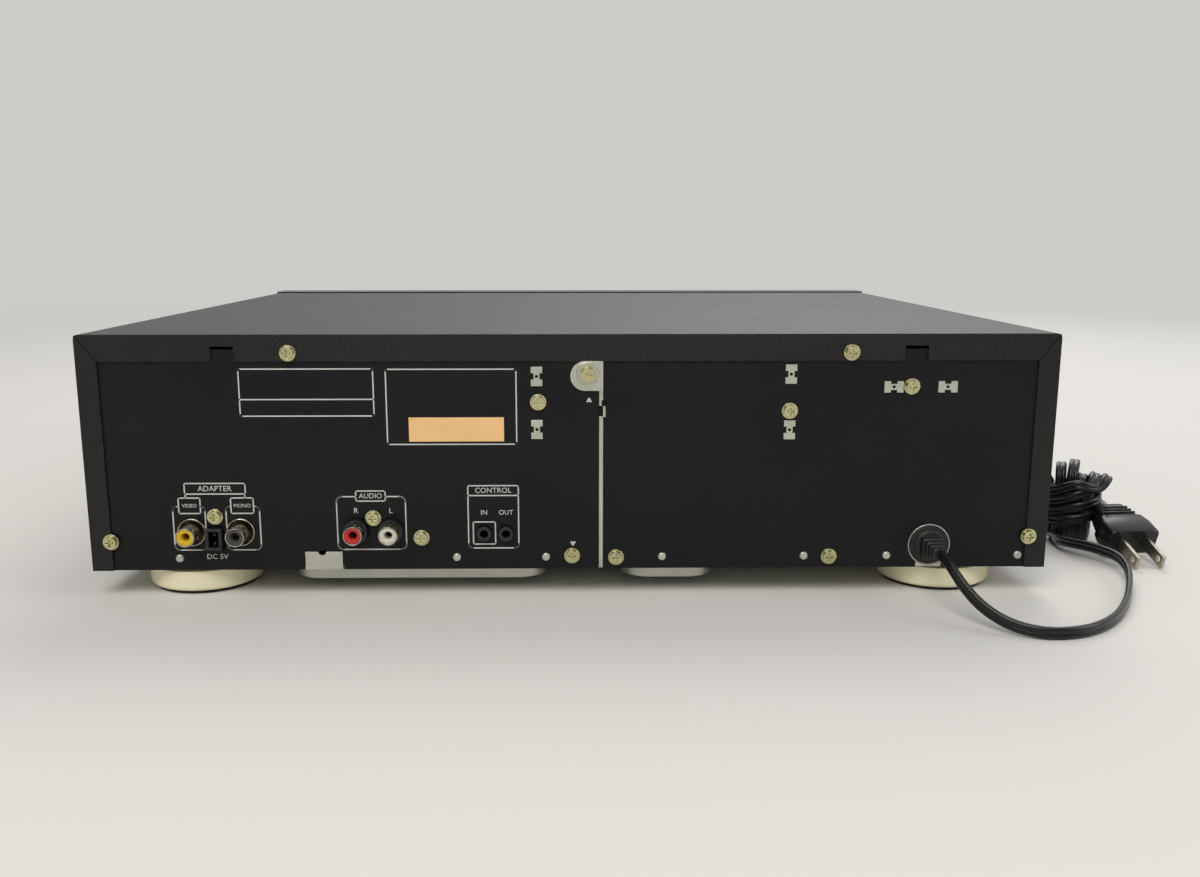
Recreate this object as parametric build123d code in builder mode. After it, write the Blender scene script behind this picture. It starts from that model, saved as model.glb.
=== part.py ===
"""A full-width laserdisc player: cased chassis, tray, disc drive, rear sockets and mains lead."""

import os
from math import cos, pi, radians, sin, tan

from build123d import *

os.makedirs("parts", exist_ok=True)

# Millimetres. +Z is up, the front faces -Y, and the origin is under the middle of the case.

# Case
cabinet_width = 420.0
cabinet_height = 103.6
bonnet_depth = 335.0
front_panel_depth = 25.0
front_lip = 0.8
sheet = 1.0
foot_height = 12.0
jack_proud = 9.3
button_proud = 1.0
fit_gap = 0.3

overall_depth = button_proud + front_panel_depth + bonnet_depth + jack_proud
front_y = button_proud - overall_depth / 2
panel_back_y = front_y + front_panel_depth
rear_y = panel_back_y + bonnet_depth
base_z = foot_height
top_z = base_z + cabinet_height
half_width = cabinet_width / 2
panel_y = rear_y - sheet
panel_inner_y = panel_y - sheet
pan_top_z = base_z + sheet

# Rear flange of the bonnet
flange_top_height = 11.5
flange_side_width = 9.0
flange_notch_inset = 62.0
flange_notch_width = 10.0
flange_notch_height = 6.4
bonnet_edge_radius = 2.0

# Chassis pan
pan_flange_height = 22.0
pan_front_height = 44.0
bulge_depth = 6.5
bulge_length = 70.0
bulge_inset = 9.0
bulge_corner = 12.0
bulges_x = ((half_width - 198.3, half_width - 85.3), (-64.0, -23.0))
tab_x = (half_width - 109.3, half_width - 92.9)
tab_height = 8.0
tab_notch_gap = 0.5
tab_hole_x = half_width - 100.4
tab_hole_radius = 1.7
board_lift = 8.0
board_thickness = 1.6
standoff_radius = 3.0
post_inset = 8.0
signal_post_front = 12.0
signal_post_rear = 24.0
board_z = base_z + board_lift
board_top_z = board_z + board_thickness

# Feet
foot_radius = 25.0
foot_edge_radius = 2.0
foot_side_inset = 41.5
foot_inset = 27.0
foot_neck_radius = 20.0
foot_neck_height = 1.2
pad_height = 1.5
pad_radius = 22.5
foot_screw_radius = 1.9
foot_screw_head_radius = 4.0
foot_screw_head_height = 2.6
foot_recess_depth = 4.5

# Rear panels and their seam
seam_x = -13.0
seam_width = 1.65
seam_height = 92.0
divider_reach = 14.0
panel_top_overlap = 5.0
panel_side_overlap = 4.0
tab_d_width = 12.4
tab_d_z = (79.3, 92.1)

# Screws of the case: x, height above the bottom edge, and whether it sits on the flange
screw_places = (
    (half_width - 90.0, 95.7, True), (90.0 - half_width, 95.7, True),
    (half_width - 9.1, 13.2, True), (8.2 - half_width, 14.2, True),
    (-7.3, 86.6, True), (14.1, 74.4, False), (-94.4, 70.4, False), (63.2 - half_width, 80.9, False),
    (half_width - 54.6, 24.2, False), (half_width - 123.4, 23.3, False),
    (half_width - 144.3, 14.4, False), (-0.3, 6.0, False), (-19.7, 5.2, False),
    (96.1 - half_width, 5.2, False),
)
screw_radius = 1.4
screw_hole_radius = 1.6
screw_length = 6.0
screw_washer_radius = 3.5
screw_washer_height = 0.7
screw_head_radius = 2.7
screw_head_height = 1.7
cross_length = 3.4
cross_width = 0.8
cross_depth = 1.0

# Domed pins and hooks in the rear panels
dowel_places = (
    half_width - 38.1, half_width - 159.6, 11.2, -40.0, 107.2 - half_width, 70.4 - half_width,
    12.0 - half_width,
)
dowel_z = 5.4
dowel_radius = 1.95
dowel_proud = 1.0
dowel_dome = 0.8
hook_upright = ((14.7, 85.5), (14.7, 62.5), (-94.5, 86.3), (-94.5, 62.1))
hook_level = ((71.0 - half_width, 80.7), (47.7 - half_width, 80.7))
hook_long = 8.3
hook_wide = 4.9
hook_waist = 2.6
hook_thick = 0.8
hook_waist_long = 2.77
hook_hole_radius = 0.7

# Rear sockets
pin_radius = 4.15
pin_bore_radius = 1.65
pin_bore_depth = 9.0
pin_z = 17.3
video_x = half_width - 44.2
mono_x = half_width - 65.5
pin_well_radius = 6.5
socket_depth = 18.0
pin_collar_radius = 6.0
pin_collar_proud = 1.4
dc_x = half_width - 54.3
dc_z = 14.5
dc_width = 6.8
dc_height = 9.7
dc_proud = 3.5
dc_pin_radius = 0.6
dc_wall = 1.2
dc_corner = 0.8
audio_x = (half_width - 115.9, half_width - 131.1)
audio_z = 17.7
audio_block_width = 28.0
audio_block_height = 17.0
audio_sleeve_radius = 5.3
audio_sleeve_proud = 4.0
audio_core_radius = 3.8
control_x = (half_width - 171.8, half_width - 181.4)
control_z = 16.3
control_bore_radius = 1.8
control_bore_depth = 12.0
control_nose_radius = 3.2
control_nose_proud = 2.2
control_block_width = 19.0
control_block_height = 8.4

# Strain relief and mains lead
gland_x = 51.7 - half_width
gland_z = 10.2
gland_hole_radius = 9.0
gland_collar_radius = 8.4
gland_lip_radius = 9.8
gland_lip_proud = 2.2
gland_nose_radius = 4.6
gland_nose_tip_radius = 3.0
gland_nose_length = 16.0
gland_inside = 9.0
gland_neck_radius = 8.7
cord_thickness = 2.8
bend_share = 0.45

# Front panel
front_wall = 2.5
front_edge_radius = 3.0
door_height = 30.0
door_depth = 6.0
door_z = 68.0
door_gap = 0.6
door_edge_radius = 1.2
window_x = (122.0 - half_width, half_width - 168.0)
window_z = (29.0, 57.0)
window_depth = 3.0
window_gap = 0.2
window_corner = 1.0
tube_inset = 13.0
tube_height = 19.0
tube_depth = 7.0
tube_corner = 1.5
front_board_setback = 14.0
front_board_inset = 14.0
front_board_z = (18.0, 62.0)
board_post_radius = 3.0
board_post_inset = 4.0
board_posts_x = (18.0 - half_width, 104.0 - half_width, half_width - 157.0, half_width - 20.0)
switch_size = 6.2
switch_depth = 4.0
button_gap = 0.4
button_flange = 1.4
button_flange_depth = 1.2
button_edge_radius = 0.5
button_travel = 1.2
stem_radius = 1.6
power_travel = 3.0

# Buttons: name, x, z, width, height, travel
button_table = (
    ("power_button", 38.0 - half_width, 43.0, 26.0, 14.0, power_travel),
    ("open_close_button", 82.0 - half_width, 43.0, 28.0, 9.0, button_travel),
    ("play_button", half_width - 52.0, 50.0, 42.0, 12.0, button_travel),
    ("pause_button", half_width - 98.0, 50.0, 26.0, 12.0, button_travel),
    ("stop_button", half_width - 132.0, 50.0, 26.0, 12.0, button_travel),
    ("skip_back_button", half_width - 114.0, 31.0, 30.0, 8.0, button_travel),
    ("skip_forward_button", half_width - 74.0, 31.0, 30.0, 8.0, button_travel),
)

# Disc and tray
disc_radius = 150.0
disc_recess_gap = 1.5
small_disc_radius = 101.5
small_recess_depth = 0.9
disc_plane_z = 84.0
tray_side_wall = 8.5
tray_half_width = disc_radius + disc_recess_gap + tray_side_wall
tray_corner = 4.0
tray_bottom_z = 79.0
tray_floor_z = 82.6
tray_rim_z = 90.0
tray_rim_front = 4.6
tray_rear_arm = 25.0
tray_rear_arm_length = 29.4
tray_rear_gap = 9.0
slot_half_width = 34.0
runner_reach = 6.0
door_overhang = 1.0
door_width = 2 * (tray_half_width + runner_reach + door_overhang)
runner_z = (84.0, 87.0)
tray_front_edge_y = front_y + door_depth
disc_centre_y = tray_front_edge_y + tray_rim_front + disc_radius + disc_recess_gap
tray_rear_y = panel_inner_y - tray_rear_gap
tray_travel = 300.0

# Runners for the tray
guide_gap = 1.0
guide_width = 8.0
guide_wall = 2.4
guide_depth = 11.0
guide_rear_y = 150.0
guide_leg_length = 14.0
guide_legs_y = (-118.0, -10.0, 72.0)
guide_lip_height = 8.5

# Drive mechanism
plate_side_gap = 35.0
plate_half_width = tray_half_width - plate_side_gap
plate_z = 50.0
plate_thickness = 4.0
plate_front_y = -152.0
plate_rear_margin = 5.0
plate_corner = 8.0
plate_top_z = plate_z + plate_thickness
pillar_inset = 15.0
pillar_x = plate_half_width - pillar_inset
pillars_y = (-118.0, 68.0)
pillar_radius = 5.0
damper_radius = 8.0
damper_height = 10.0
damper_edge_radius = 1.5
motor_radius = 22.0
motor_height = 22.0
motor_edge_radius = 1.5
motor_shaft_radius = 2.0
shaft_gap = 0.05
turntable_radius = 30.0
turntable_thickness = 4.0
turntable_boss_radius = 8.0
hub_radius = 17.2
hub_top_radius = 15.6
hub_height = 4.0
rail_x = 20.0
rail_z = 62.0
rail_radius = 2.5
rail_block_length = 5.0
rail_block_half_width = 5.0
rail_front_y = disc_centre_y + 23.05
carriage_half_width = 26.0
carriage_length = 38.0
carriage_z = (56.5, 72.0)
carriage_gap = 1.0
carriage_edge_radius = 2.0
carriage_travel = 100.0
lens_setback = 14.0
lens_well_radius = 9.0
lens_well_inner = 6.6
lens_well_height = 5.0
lens_holder_radius = 6.2
lens_radius = 3.0
lens_rise = 1.6
lens_travel = 0.5

# Gears
gear_module = 1.0
tooth_share = 0.18
pressure_angle = 20.0
tooth_reach = 0.9
shaft_hole_radius = 4.0
mesh_gap = 0.15
feed_teeth = 20
feed_gear_height = 6.0
feed_gear_z = 57.0
feed_axis_y = disc_centre_y + 73.05
feed_motor_radius = 12.0
feed_motor_height = 20.0
feed_shaft_radius = 1.5
feed_boss_radius = 5.0
rack_bar_width = 4.0
rack_x = 27.0
rack_inset = 2.0
loading_teeth = 30
loading_axis_y = -140.0
loading_gear_z = 74.3
loading_gear_height = 4.0
loading_post_radius = 3.0
loading_boss_radius = 6.0
tray_rack_inset = 24.0
tray_rack_x = tray_half_width - tray_rack_inset
tray_rack_width = 4.0
tray_rack_z = 74.0
pulley_radius = 17.0
pulley_z = 65.0
pulley_height = 6.0
belt_height = 3.0
belt_thickness = 1.0
belt_gap = 0.3
motor_pulley_radius = 5.0
motor_pulley_boss_radius = 3.5
belt_span = 45.85
loading_motor_radius = 12.0
groove_depth = 1.2

# Clamp
bridge_gap = 13.0
bridge_x = tray_half_width + guide_gap + guide_width + bridge_gap
bridge_y = (50.0, 90.0)
bridge_z = 100.0
bridge_sheet = 1.2
bridge_foot = 12.0
ear_half_gap = 24.0
ear_thickness = 2.0
ear_reach = 12.0
ear_height = 8.0
hinge_y = 44.0
hinge_z = 103.0
hinge_pin_radius = 1.5
hinge_gap = 0.06
hinge_barrel_radius = 3.4
arm_thickness = 1.5
arm_z = 99.0
arm_half_width = 18.0
arm_end_radius = 24.0
puck_radius = 28.0
puck_thickness = 6.0
puck_edge_radius = 1.0
disc_thickness = 1.4
puck_recess_radius = 18.2
puck_recess_depth = 3.6
puck_stem_radius = 6.0
puck_cap_radius = 10.0
puck_cap_thickness = 1.8

# Power supply
core_x = (10.0 - half_width, 64.0 - half_width)
core_y = (112.0, 152.0)
core_height = 50.0
core_window_width = 12.0
core_yoke = 10.0
coil_overhang = 8.0
coil_corner = 2.0
power_board_x = (2.0 - tray_half_width, 32.0 - tray_half_width)
power_board_y = (-30.0, 98.0)
capacitor_radius = 9.0
capacitor_height = 30.0
capacitors_y = (24.0, 48.0, 72.0)
capacitor_x = 17.0 - tray_half_width
capacitor_edge_radius = 1.0
sink_x = (5.0 - tray_half_width, 23.0 - tray_half_width)
sink_y = (-28.0, 8.0)
sink_height = 34.0
sink_fins = 5
sink_fin_thickness = 1.6
signal_board_x = (half_width - 188.0, half_width - 34.0)
signal_board_y = (92.0, 167.0)
main_board_gap = 18.0
main_board_x = (main_board_gap - pillar_x, pillar_x - main_board_gap)
main_board_y = (-140.0, 60.0)
chip_places = ((-40.0, -60.0), (30.0, -70.0), (-20.0, 10.0), (50.0, 0.0))
chip_width = 18.0
chip_height = 2.4


def block(x, y, z, mode=Mode.ADD):
    with Locations(((x[0] + x[1]) / 2, (y[0] + y[1]) / 2, (z[0] + z[1]) / 2)):
        Box(x[1] - x[0], y[1] - y[0], z[1] - z[0], mode=mode)


def upright(x, y, z, radius, mode=Mode.ADD):
    with Locations((x, y, (z[0] + z[1]) / 2)):
        Cylinder(radius, z[1] - z[0], mode=mode)


def lengthwise(x, y, z, radius, mode=Mode.ADD):
    with Locations((x, (y[0] + y[1]) / 2, z)):
        Cylinder(radius, y[1] - y[0], rotation=(90, 0, 0), mode=mode)


def lengthwise_set(places, y, radius, mode=Mode.ADD):
    """Equal cylinders along Y, from y[0] to y[1], at each (x, z, y offset)."""
    with Locations(*[(x, (y[0] + y[1]) / 2 + shift, z) for x, z, shift in places]):
        Cylinder(radius, y[1] - y[0], rotation=(90, 0, 0), mode=mode)


def crosswise(x, y, z, radius, mode=Mode.ADD):
    with Locations(((x[0] + x[1]) / 2, y, z)):
        Cylinder(radius, x[1] - x[0], rotation=(0, 90, 0), mode=mode)


screw_holes = tuple((x, base_z + z, 0.0) for x, z, on_flange in screw_places)
flange_holes = tuple(place for place, (x, z, on_flange) in zip(screw_holes, screw_places) if on_flange)
dowel_holes = tuple((x, base_z + dowel_z, 0.0) for x in dowel_places)

# Bonnet: a folded cover with a flange turned in at the rear
window_top_z = top_z - flange_top_height
with BuildPart() as bonnet:
    block((-half_width, half_width), (panel_back_y, rear_y), (base_z, top_z))
    fillet(
        bonnet.edges().filter_by(Axis.Y).group_by(Axis.Z)[-1],
        radius=bonnet_edge_radius,
    )
    block(
        (sheet - half_width, half_width - sheet), (panel_back_y - sheet, panel_y),
        (base_z - sheet, top_z - sheet), Mode.SUBTRACT,
    )
    block(
        (flange_side_width - half_width, half_width - flange_side_width),
        (panel_y - sheet, rear_y + sheet), (base_z - sheet, window_top_z), Mode.SUBTRACT,
    )
    for side in (-1, 1):
        notch = side * (half_width - flange_notch_inset)
        block(
            (notch - flange_notch_width / 2, notch + flange_notch_width / 2),
            (panel_y - sheet, rear_y + sheet),
            (window_top_z - sheet, window_top_z + flange_notch_height), Mode.SUBTRACT,
        )
    lengthwise_set(flange_holes, (panel_y - sheet, rear_y + sheet), screw_hole_radius, Mode.SUBTRACT)
bonnet.part.label = "bonnet"
export_step(bonnet.part, "parts/bonnet.step")

# Chassis pan with turned-up sides, two bulges below the boards, posts and a rear tab
pan_half = half_width - sheet - fit_gap
pan_y = (panel_back_y + fit_gap, panel_inner_y)
feet_places = tuple(
    (side * (half_width - foot_side_inset), y) for side in (-1, 1)
    for y in (panel_back_y + foot_inset, rear_y - foot_inset)
)
signal_posts = tuple(
    (x, y) for x in (signal_board_x[0] + post_inset, signal_board_x[1] - post_inset)
    for y in (signal_board_y[0] + signal_post_front, signal_board_y[1] - signal_post_rear)
)
main_posts = tuple(
    (x, y) for x in (main_board_x[0] + post_inset, main_board_x[1] - post_inset)
    for y in (main_board_y[0] + post_inset, main_board_y[1] - post_inset)
)
power_posts = tuple(
    (x, y) for x in (power_board_x[0] + post_inset, power_board_x[1] - post_inset)
    for y in (power_board_y[0] + post_inset, power_board_y[1] - post_inset)
)
pillar_places = tuple((side * pillar_x, y) for side in (-1, 1) for y in pillars_y)
bulge_rear_y = rear_y - bulge_inset
with BuildPart() as bottom_chassis:
    block((-pan_half, pan_half), pan_y, (base_z, pan_top_z))
    for side in (-1, 1):
        edge = side * (pan_half - sheet / 2)
        block((edge - sheet / 2, edge + sheet / 2), pan_y, (base_z, base_z + pan_flange_height))
    block((-pan_half, pan_half), (pan_y[0], pan_y[0] + sheet), (base_z, base_z + pan_front_height))
    for low, high in bulges_x:
        with BuildSketch(Plane.XY.offset(base_z - bulge_depth)):
            with Locations(((low + high) / 2, bulge_rear_y - bulge_length / 2)):
                RectangleRounded(high - low, bulge_length, bulge_corner)
        extrude(amount=bulge_depth)
        with BuildSketch(Plane.XY.offset(base_z - bulge_depth + sheet)):
            with Locations(((low + high) / 2, bulge_rear_y - bulge_length / 2)):
                RectangleRounded(high - low - 2 * sheet, bulge_length - 2 * sheet, bulge_corner - sheet)
        extrude(amount=bulge_depth, mode=Mode.SUBTRACT)
    for x, y in signal_posts:
        in_bulge = bulges_x[0][0] < x < bulges_x[0][1]
        foot_z = base_z - bulge_depth + sheet / 2 if in_bulge else base_z
        upright(x, y, (foot_z, board_z), standoff_radius)
    for x, y in main_posts + power_posts:
        upright(x, y, (base_z, board_z), standoff_radius)
    for x, y in pillar_places:
        upright(x, y, (base_z, plate_z - damper_height), pillar_radius)
    for x, y in feet_places:
        upright(x, y, (base_z - sheet, pan_top_z + sheet), foot_screw_radius + fit_gap, Mode.SUBTRACT)
    block(tab_x, (panel_inner_y - sheet, panel_y), (base_z, base_z + tab_height))
    lengthwise(
        tab_hole_x, (panel_inner_y - 2 * sheet, rear_y), base_z + tab_height, tab_hole_radius, Mode.SUBTRACT
    )
bottom_chassis.part.label = "bottom_chassis"
export_step(bottom_chassis.part, "parts/bottom_chassis.step")

# Feet: round cups with a narrower neck, a felt pad and a screw up into the pan
with BuildPart() as feet:
    for x, y in feet_places:
        upright(x, y, (pad_height, base_z - foot_neck_height), foot_radius)
    fillet(feet.edges().filter_by(GeomType.CIRCLE).group_by(Axis.Z)[0], radius=foot_edge_radius)
    for x, y in feet_places:
        upright(x, y, (base_z - foot_neck_height - sheet, base_z), foot_neck_radius)
        upright(x, y, (0, pad_height + foot_recess_depth), foot_screw_head_radius + sheet, Mode.SUBTRACT)
        upright(x, y, (0, base_z + sheet), foot_screw_radius + fit_gap, Mode.SUBTRACT)
feet.part.label = "feet"
export_step(feet.part, "parts/feet.step")

with BuildPart() as foot_pads:
    for x, y in feet_places:
        upright(x, y, (0, pad_height), pad_radius)
        upright(x, y, (0, pad_height), foot_screw_head_radius + sheet, Mode.SUBTRACT)
foot_pads.part.label = "foot_pads"
export_step(foot_pads.part, "parts/foot_pads.step")

foot_screw_seat = pad_height + foot_recess_depth
with BuildPart() as foot_screws:
    for x, y in feet_places:
        upright(x, y, (foot_screw_seat - foot_screw_head_height, foot_screw_seat), foot_screw_head_radius)
        upright(x, y, (foot_screw_seat, pan_top_z), foot_screw_radius)
foot_screws.part.label = "foot_screws"
export_step(foot_screws.part, "parts/foot_screws.step")

# Rear panels, split at the seam
panel_top_z = window_top_z + panel_top_overlap
panel_edge_x = half_width - flange_side_width + panel_side_overlap
seam_half = seam_width / 2 + fit_gap / 2
with BuildPart() as rear_panel_signal:
    block((seam_x + seam_half, panel_edge_x), (panel_inner_y, panel_y), (base_z, panel_top_z))
    block(
        (tab_x[0] - tab_notch_gap, tab_x[1] + tab_notch_gap), (panel_inner_y - sheet, rear_y),
        (base_z - sheet, base_z + tab_height + tab_notch_gap), Mode.SUBTRACT,
    )
    for x in (video_x, mono_x):
        lengthwise(
            x, (panel_inner_y - sheet, rear_y), base_z + pin_z, pin_well_radius, Mode.SUBTRACT
        )
    block(
        (dc_x - dc_width / 2 - fit_gap, dc_x + dc_width / 2 + fit_gap), (panel_inner_y - sheet, rear_y),
        (base_z + dc_z - dc_height / 2 - fit_gap, base_z + dc_z + dc_height / 2 + fit_gap), Mode.SUBTRACT,
    )
    for x in audio_x:
        lengthwise(
            x, (panel_inner_y - sheet, rear_y), base_z + audio_z, audio_sleeve_radius + fit_gap,
            Mode.SUBTRACT,
        )
    for x in control_x:
        lengthwise(
            x, (panel_inner_y - sheet, rear_y), base_z + control_z, control_nose_radius + fit_gap,
            Mode.SUBTRACT,
        )
    lengthwise_set(screw_holes, (panel_inner_y - sheet, rear_y), screw_hole_radius, Mode.SUBTRACT)
    lengthwise_set(dowel_holes, (panel_inner_y - sheet, rear_y), dowel_radius, Mode.SUBTRACT)
rear_panel_signal.part.label = "rear_panel_signal"
export_step(rear_panel_signal.part, "parts/rear_panel_signal.step")

with BuildPart() as rear_panel_power:
    block((-panel_edge_x, seam_x - seam_half), (panel_inner_y, panel_y), (base_z, panel_top_z))
    lengthwise(
        gland_x, (panel_inner_y - sheet, rear_y), base_z + gland_z, gland_hole_radius, Mode.SUBTRACT
    )
    lengthwise_set(screw_holes, (panel_inner_y - sheet, rear_y), screw_hole_radius, Mode.SUBTRACT)
    lengthwise_set(dowel_holes, (panel_inner_y - sheet, rear_y), dowel_radius, Mode.SUBTRACT)
rear_panel_power.part.label = "rear_panel_power"
export_step(rear_panel_power.part, "parts/rear_panel_power.step")

# The divider shows as a pale strip in the seam, with a round-ended tab over the signal panel
tab_d_x = (seam_x + seam_width / 2, seam_x + seam_width / 2 + tab_d_width)
tab_d_radius = (tab_d_z[1] - tab_d_z[0]) / 2
with BuildPart() as centre_divider:
    block(
        (seam_x - seam_width / 2, seam_x + seam_width / 2), (panel_inner_y - divider_reach, panel_y),
        (pan_top_z, base_z + seam_height),
    )
    with BuildSketch(Plane.XZ.offset(-rear_y)):
        with Locations((tab_d_x[1] - tab_d_radius, base_z + tab_d_z[0] + tab_d_radius)):
            Circle(tab_d_radius)
        with Locations(
            ((tab_d_x[0] + tab_d_x[1] - tab_d_radius) / 2, base_z + tab_d_z[0] + tab_d_radius)
        ):
            Rectangle(tab_d_width - tab_d_radius, 2 * tab_d_radius)
    extrude(amount=sheet)
    block(
        (seam_x - seam_width / 2, seam_x + seam_width / 2), (panel_y - sheet, rear_y),
        (base_z + tab_d_z[0], base_z + seam_height),
    )
    lengthwise_set(screw_holes, (panel_y - sheet / 2, rear_y + sheet), screw_hole_radius, Mode.SUBTRACT)
centre_divider.part.label = "centre_divider"
export_step(centre_divider.part, "parts/centre_divider.step")

# Cross-head screws with a fixed washer, all alike
screw_seats = tuple(
    (x, base_z + z, 0.0 if on_flange else -sheet) for x, z, on_flange in screw_places
)
washer_y = rear_y + screw_washer_height
head_y = washer_y + screw_head_height
with BuildPart() as case_screws:
    lengthwise_set(screw_seats, (rear_y - screw_length, rear_y), screw_radius)
    lengthwise_set(screw_seats, (rear_y, washer_y), screw_washer_radius)
    lengthwise_set(screw_seats, (washer_y, head_y), screw_head_radius)
    with Locations(*[(x, head_y - cross_depth / 2 + shift, z) for x, z, shift in screw_seats]):
        Box(cross_length, cross_depth, cross_width, mode=Mode.SUBTRACT)
        Box(cross_width, cross_depth, cross_length, mode=Mode.SUBTRACT)
case_screws.part.label = "case_screws"
export_step(case_screws.part, "parts/case_screws.step")

with BuildPart() as rear_dowels:
    lengthwise_set(
        dowel_holes, (panel_inner_y - sheet, panel_y + dowel_proud), dowel_radius - fit_gap / 2
    )
    fillet(rear_dowels.edges().filter_by(GeomType.CIRCLE).group_by(Axis.Y)[-1], radius=dowel_dome)
rear_dowels.part.label = "rear_dowels"
export_step(rear_dowels.part, "parts/rear_dowels.step")

# Waisted hooks that hold the boards' shields to the panels
with BuildPart() as board_hook_clips:
    for places, size in ((hook_upright, (hook_wide, hook_long)), (hook_level, (hook_long, hook_wide))):
        for x, z in places:
            upright_hook = size[1] > size[0]
            width = size[0]
            tall = size[1]
            height = base_z + z
            block(
                (x - width / 2, x + width / 2), (panel_y, panel_y + hook_thick),
                (height - tall / 2, height + tall / 2),
            )
            notch = (hook_wide - hook_waist) / 2
            for side in (-1, 1):
                if upright_hook:
                    middle = x + side * (width - notch) / 2
                    block(
                        (middle - notch / 2, middle + notch / 2), (panel_y, panel_y + hook_thick),
                        (height - hook_waist_long / 2, height + hook_waist_long / 2), Mode.SUBTRACT,
                    )
                else:
                    middle = height + side * (tall - notch) / 2
                    block(
                        (x - hook_waist_long / 2, x + hook_waist_long / 2), (panel_y, panel_y + hook_thick),
                        (middle - notch / 2, middle + notch / 2), Mode.SUBTRACT,
                    )
            lengthwise(x, (panel_y, panel_y + hook_thick), height, hook_hole_radius, Mode.SUBTRACT)
board_hook_clips.part.label = "board_hook_clips"
export_step(board_hook_clips.part, "parts/board_hook_clips.step")

# Front panel: a hollow moulding with the tray's mouth, a window and button holes
mouth_z = (door_z - door_gap, door_z + door_height + door_gap)
mouth_x = door_width / 2 + door_gap
front_board_y = front_y + front_board_setback
with BuildPart() as front_panel:
    block((-half_width, half_width), (front_y, panel_back_y), (base_z, top_z + front_lip))
    fillet(
        front_panel.edges().filter_by(Axis.X).group_by(Axis.Y)[0]
        + front_panel.edges().filter_by(Axis.Z).group_by(Axis.Y)[0],
        radius=front_edge_radius,
    )
    block(
        (front_wall - half_width, half_width - front_wall), (front_y + front_wall, panel_back_y + sheet),
        (base_z + front_wall, top_z + front_lip - front_wall), Mode.SUBTRACT,
    )
    for x in board_posts_x:
        for z in (front_board_z[0] + board_post_inset, front_board_z[1] - board_post_inset):
            lengthwise(x, (front_y + front_wall / 2, front_board_y), z, board_post_radius)
    block((-mouth_x, mouth_x), (front_y - sheet, front_y + 2 * front_wall), mouth_z, Mode.SUBTRACT)
    block(
        (window_x[0] - window_gap, window_x[1] + window_gap), (front_y - sheet, front_y + 2 * front_wall),
        (window_z[0] - window_gap, window_z[1] + window_gap), Mode.SUBTRACT,
    )
    for name, x, z, width, height, travel in button_table:
        block(
            (x - width / 2 - button_gap, x + width / 2 + button_gap),
            (front_y - sheet, front_y + 2 * front_wall),
            (z - height / 2 - button_gap, z + height / 2 + button_gap), Mode.SUBTRACT,
        )
front_panel.part.label = "front_panel"
export_step(front_panel.part, "parts/front_panel.step")

with BuildPart() as display_window:
    block(window_x, (front_y, front_y + window_depth), window_z)
    fillet(display_window.edges().filter_by(Axis.Y), radius=window_corner)
display_window.part.label = "display_window"
export_step(display_window.part, "parts/display_window.step")

tube_x = (window_x[0] + tube_inset, window_x[1] - tube_inset)
window_middle_z = (window_z[0] + window_z[1]) / 2
with BuildPart() as display_tube:
    block(
        tube_x, (front_board_y - tube_depth, front_board_y),
        (window_middle_z - tube_height / 2, window_middle_z + tube_height / 2),
    )
    fillet(display_tube.edges().filter_by(Axis.Y), radius=tube_corner)
display_tube.part.label = "display_tube"
export_step(display_tube.part, "parts/display_tube.step")

# The board behind the panel, with a key switch for each button
with BuildPart() as front_board:
    block(
        (front_board_inset - half_width, half_width - front_board_inset),
        (front_board_y, front_board_y + board_thickness), front_board_z,
    )
    for name, x, z, width, height, travel in button_table:
        block(
            (x - switch_size / 2, x + switch_size / 2), (front_board_y - switch_depth, front_board_y),
            (z - switch_size / 2, z + switch_size / 2),
        )
front_board.part.label = "front_board"
export_step(front_board.part, "parts/front_board.step")

# Buttons: a cap in the panel, a flange that holds it in, and a stem over its switch
switch_face_y = front_board_y - switch_depth
for name, x, z, width, height, travel in button_table:
    with BuildPart() as button:
        back_y = front_y + front_wall
        block(
            (x - width / 2, x + width / 2), (front_y - button_proud, back_y + fit_gap),
            (z - height / 2, z + height / 2),
        )
        fillet(button.faces().sort_by(Axis.Y)[0].edges(), radius=button_edge_radius)
        block(
            (x - width / 2 - button_flange, x + width / 2 + button_flange),
            (back_y + fit_gap, back_y + fit_gap + button_flange_depth),
            (z - height / 2 - button_flange, z + height / 2 + button_flange),
        )
        lengthwise(
            x, (back_y + button_flange_depth, switch_face_y - travel - fit_gap), z, stem_radius
        )
    button.part.label = name
    export_step(button.part, "parts/" + name + ".step")

# Tray: recesses for the large and small discs, a slot over the drive, runners and a rack
rack_pitch = pi * gear_module
loading_radius = gear_module * loading_teeth / 2
feed_radius = gear_module * feed_teeth / 2
tooth_half = tooth_share * rack_pitch
slope = gear_module * tan(radians(pressure_angle))
tray_pitch_x = tray_rack_x - tray_rack_width - gear_module
loading_axis_x = tray_pitch_x - loading_radius - mesh_gap
loading_motor_x = loading_axis_x - belt_span
tray_rack_y = (loading_axis_y - 2 * rack_pitch, loading_axis_y + tray_travel + rack_pitch)


def rack_outline(back_x, root_x, first_y, last_y, gear_y):
    """A rack's closed outline, with a gap in its teeth at gear_y; the teeth point away from back_x."""
    out = 2 * gear_module if root_x > back_x else -2 * gear_module
    tip = tooth_half - slope
    foot = tooth_half + slope
    points = [(back_x, last_y), (back_x, first_y), (root_x, first_y)]
    below = int((gear_y - first_y) / rack_pitch - 0.5)
    above = int((last_y - gear_y) / rack_pitch - 0.5)
    for index in range(-below, above):
        middle = gear_y + (index + 0.5) * rack_pitch
        points.append((root_x, middle - foot))
        points.append((root_x + out, middle - tip))
        points.append((root_x + out, middle + tip))
        points.append((root_x, middle + foot))
    points.append((root_x, last_y))
    return points


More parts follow.
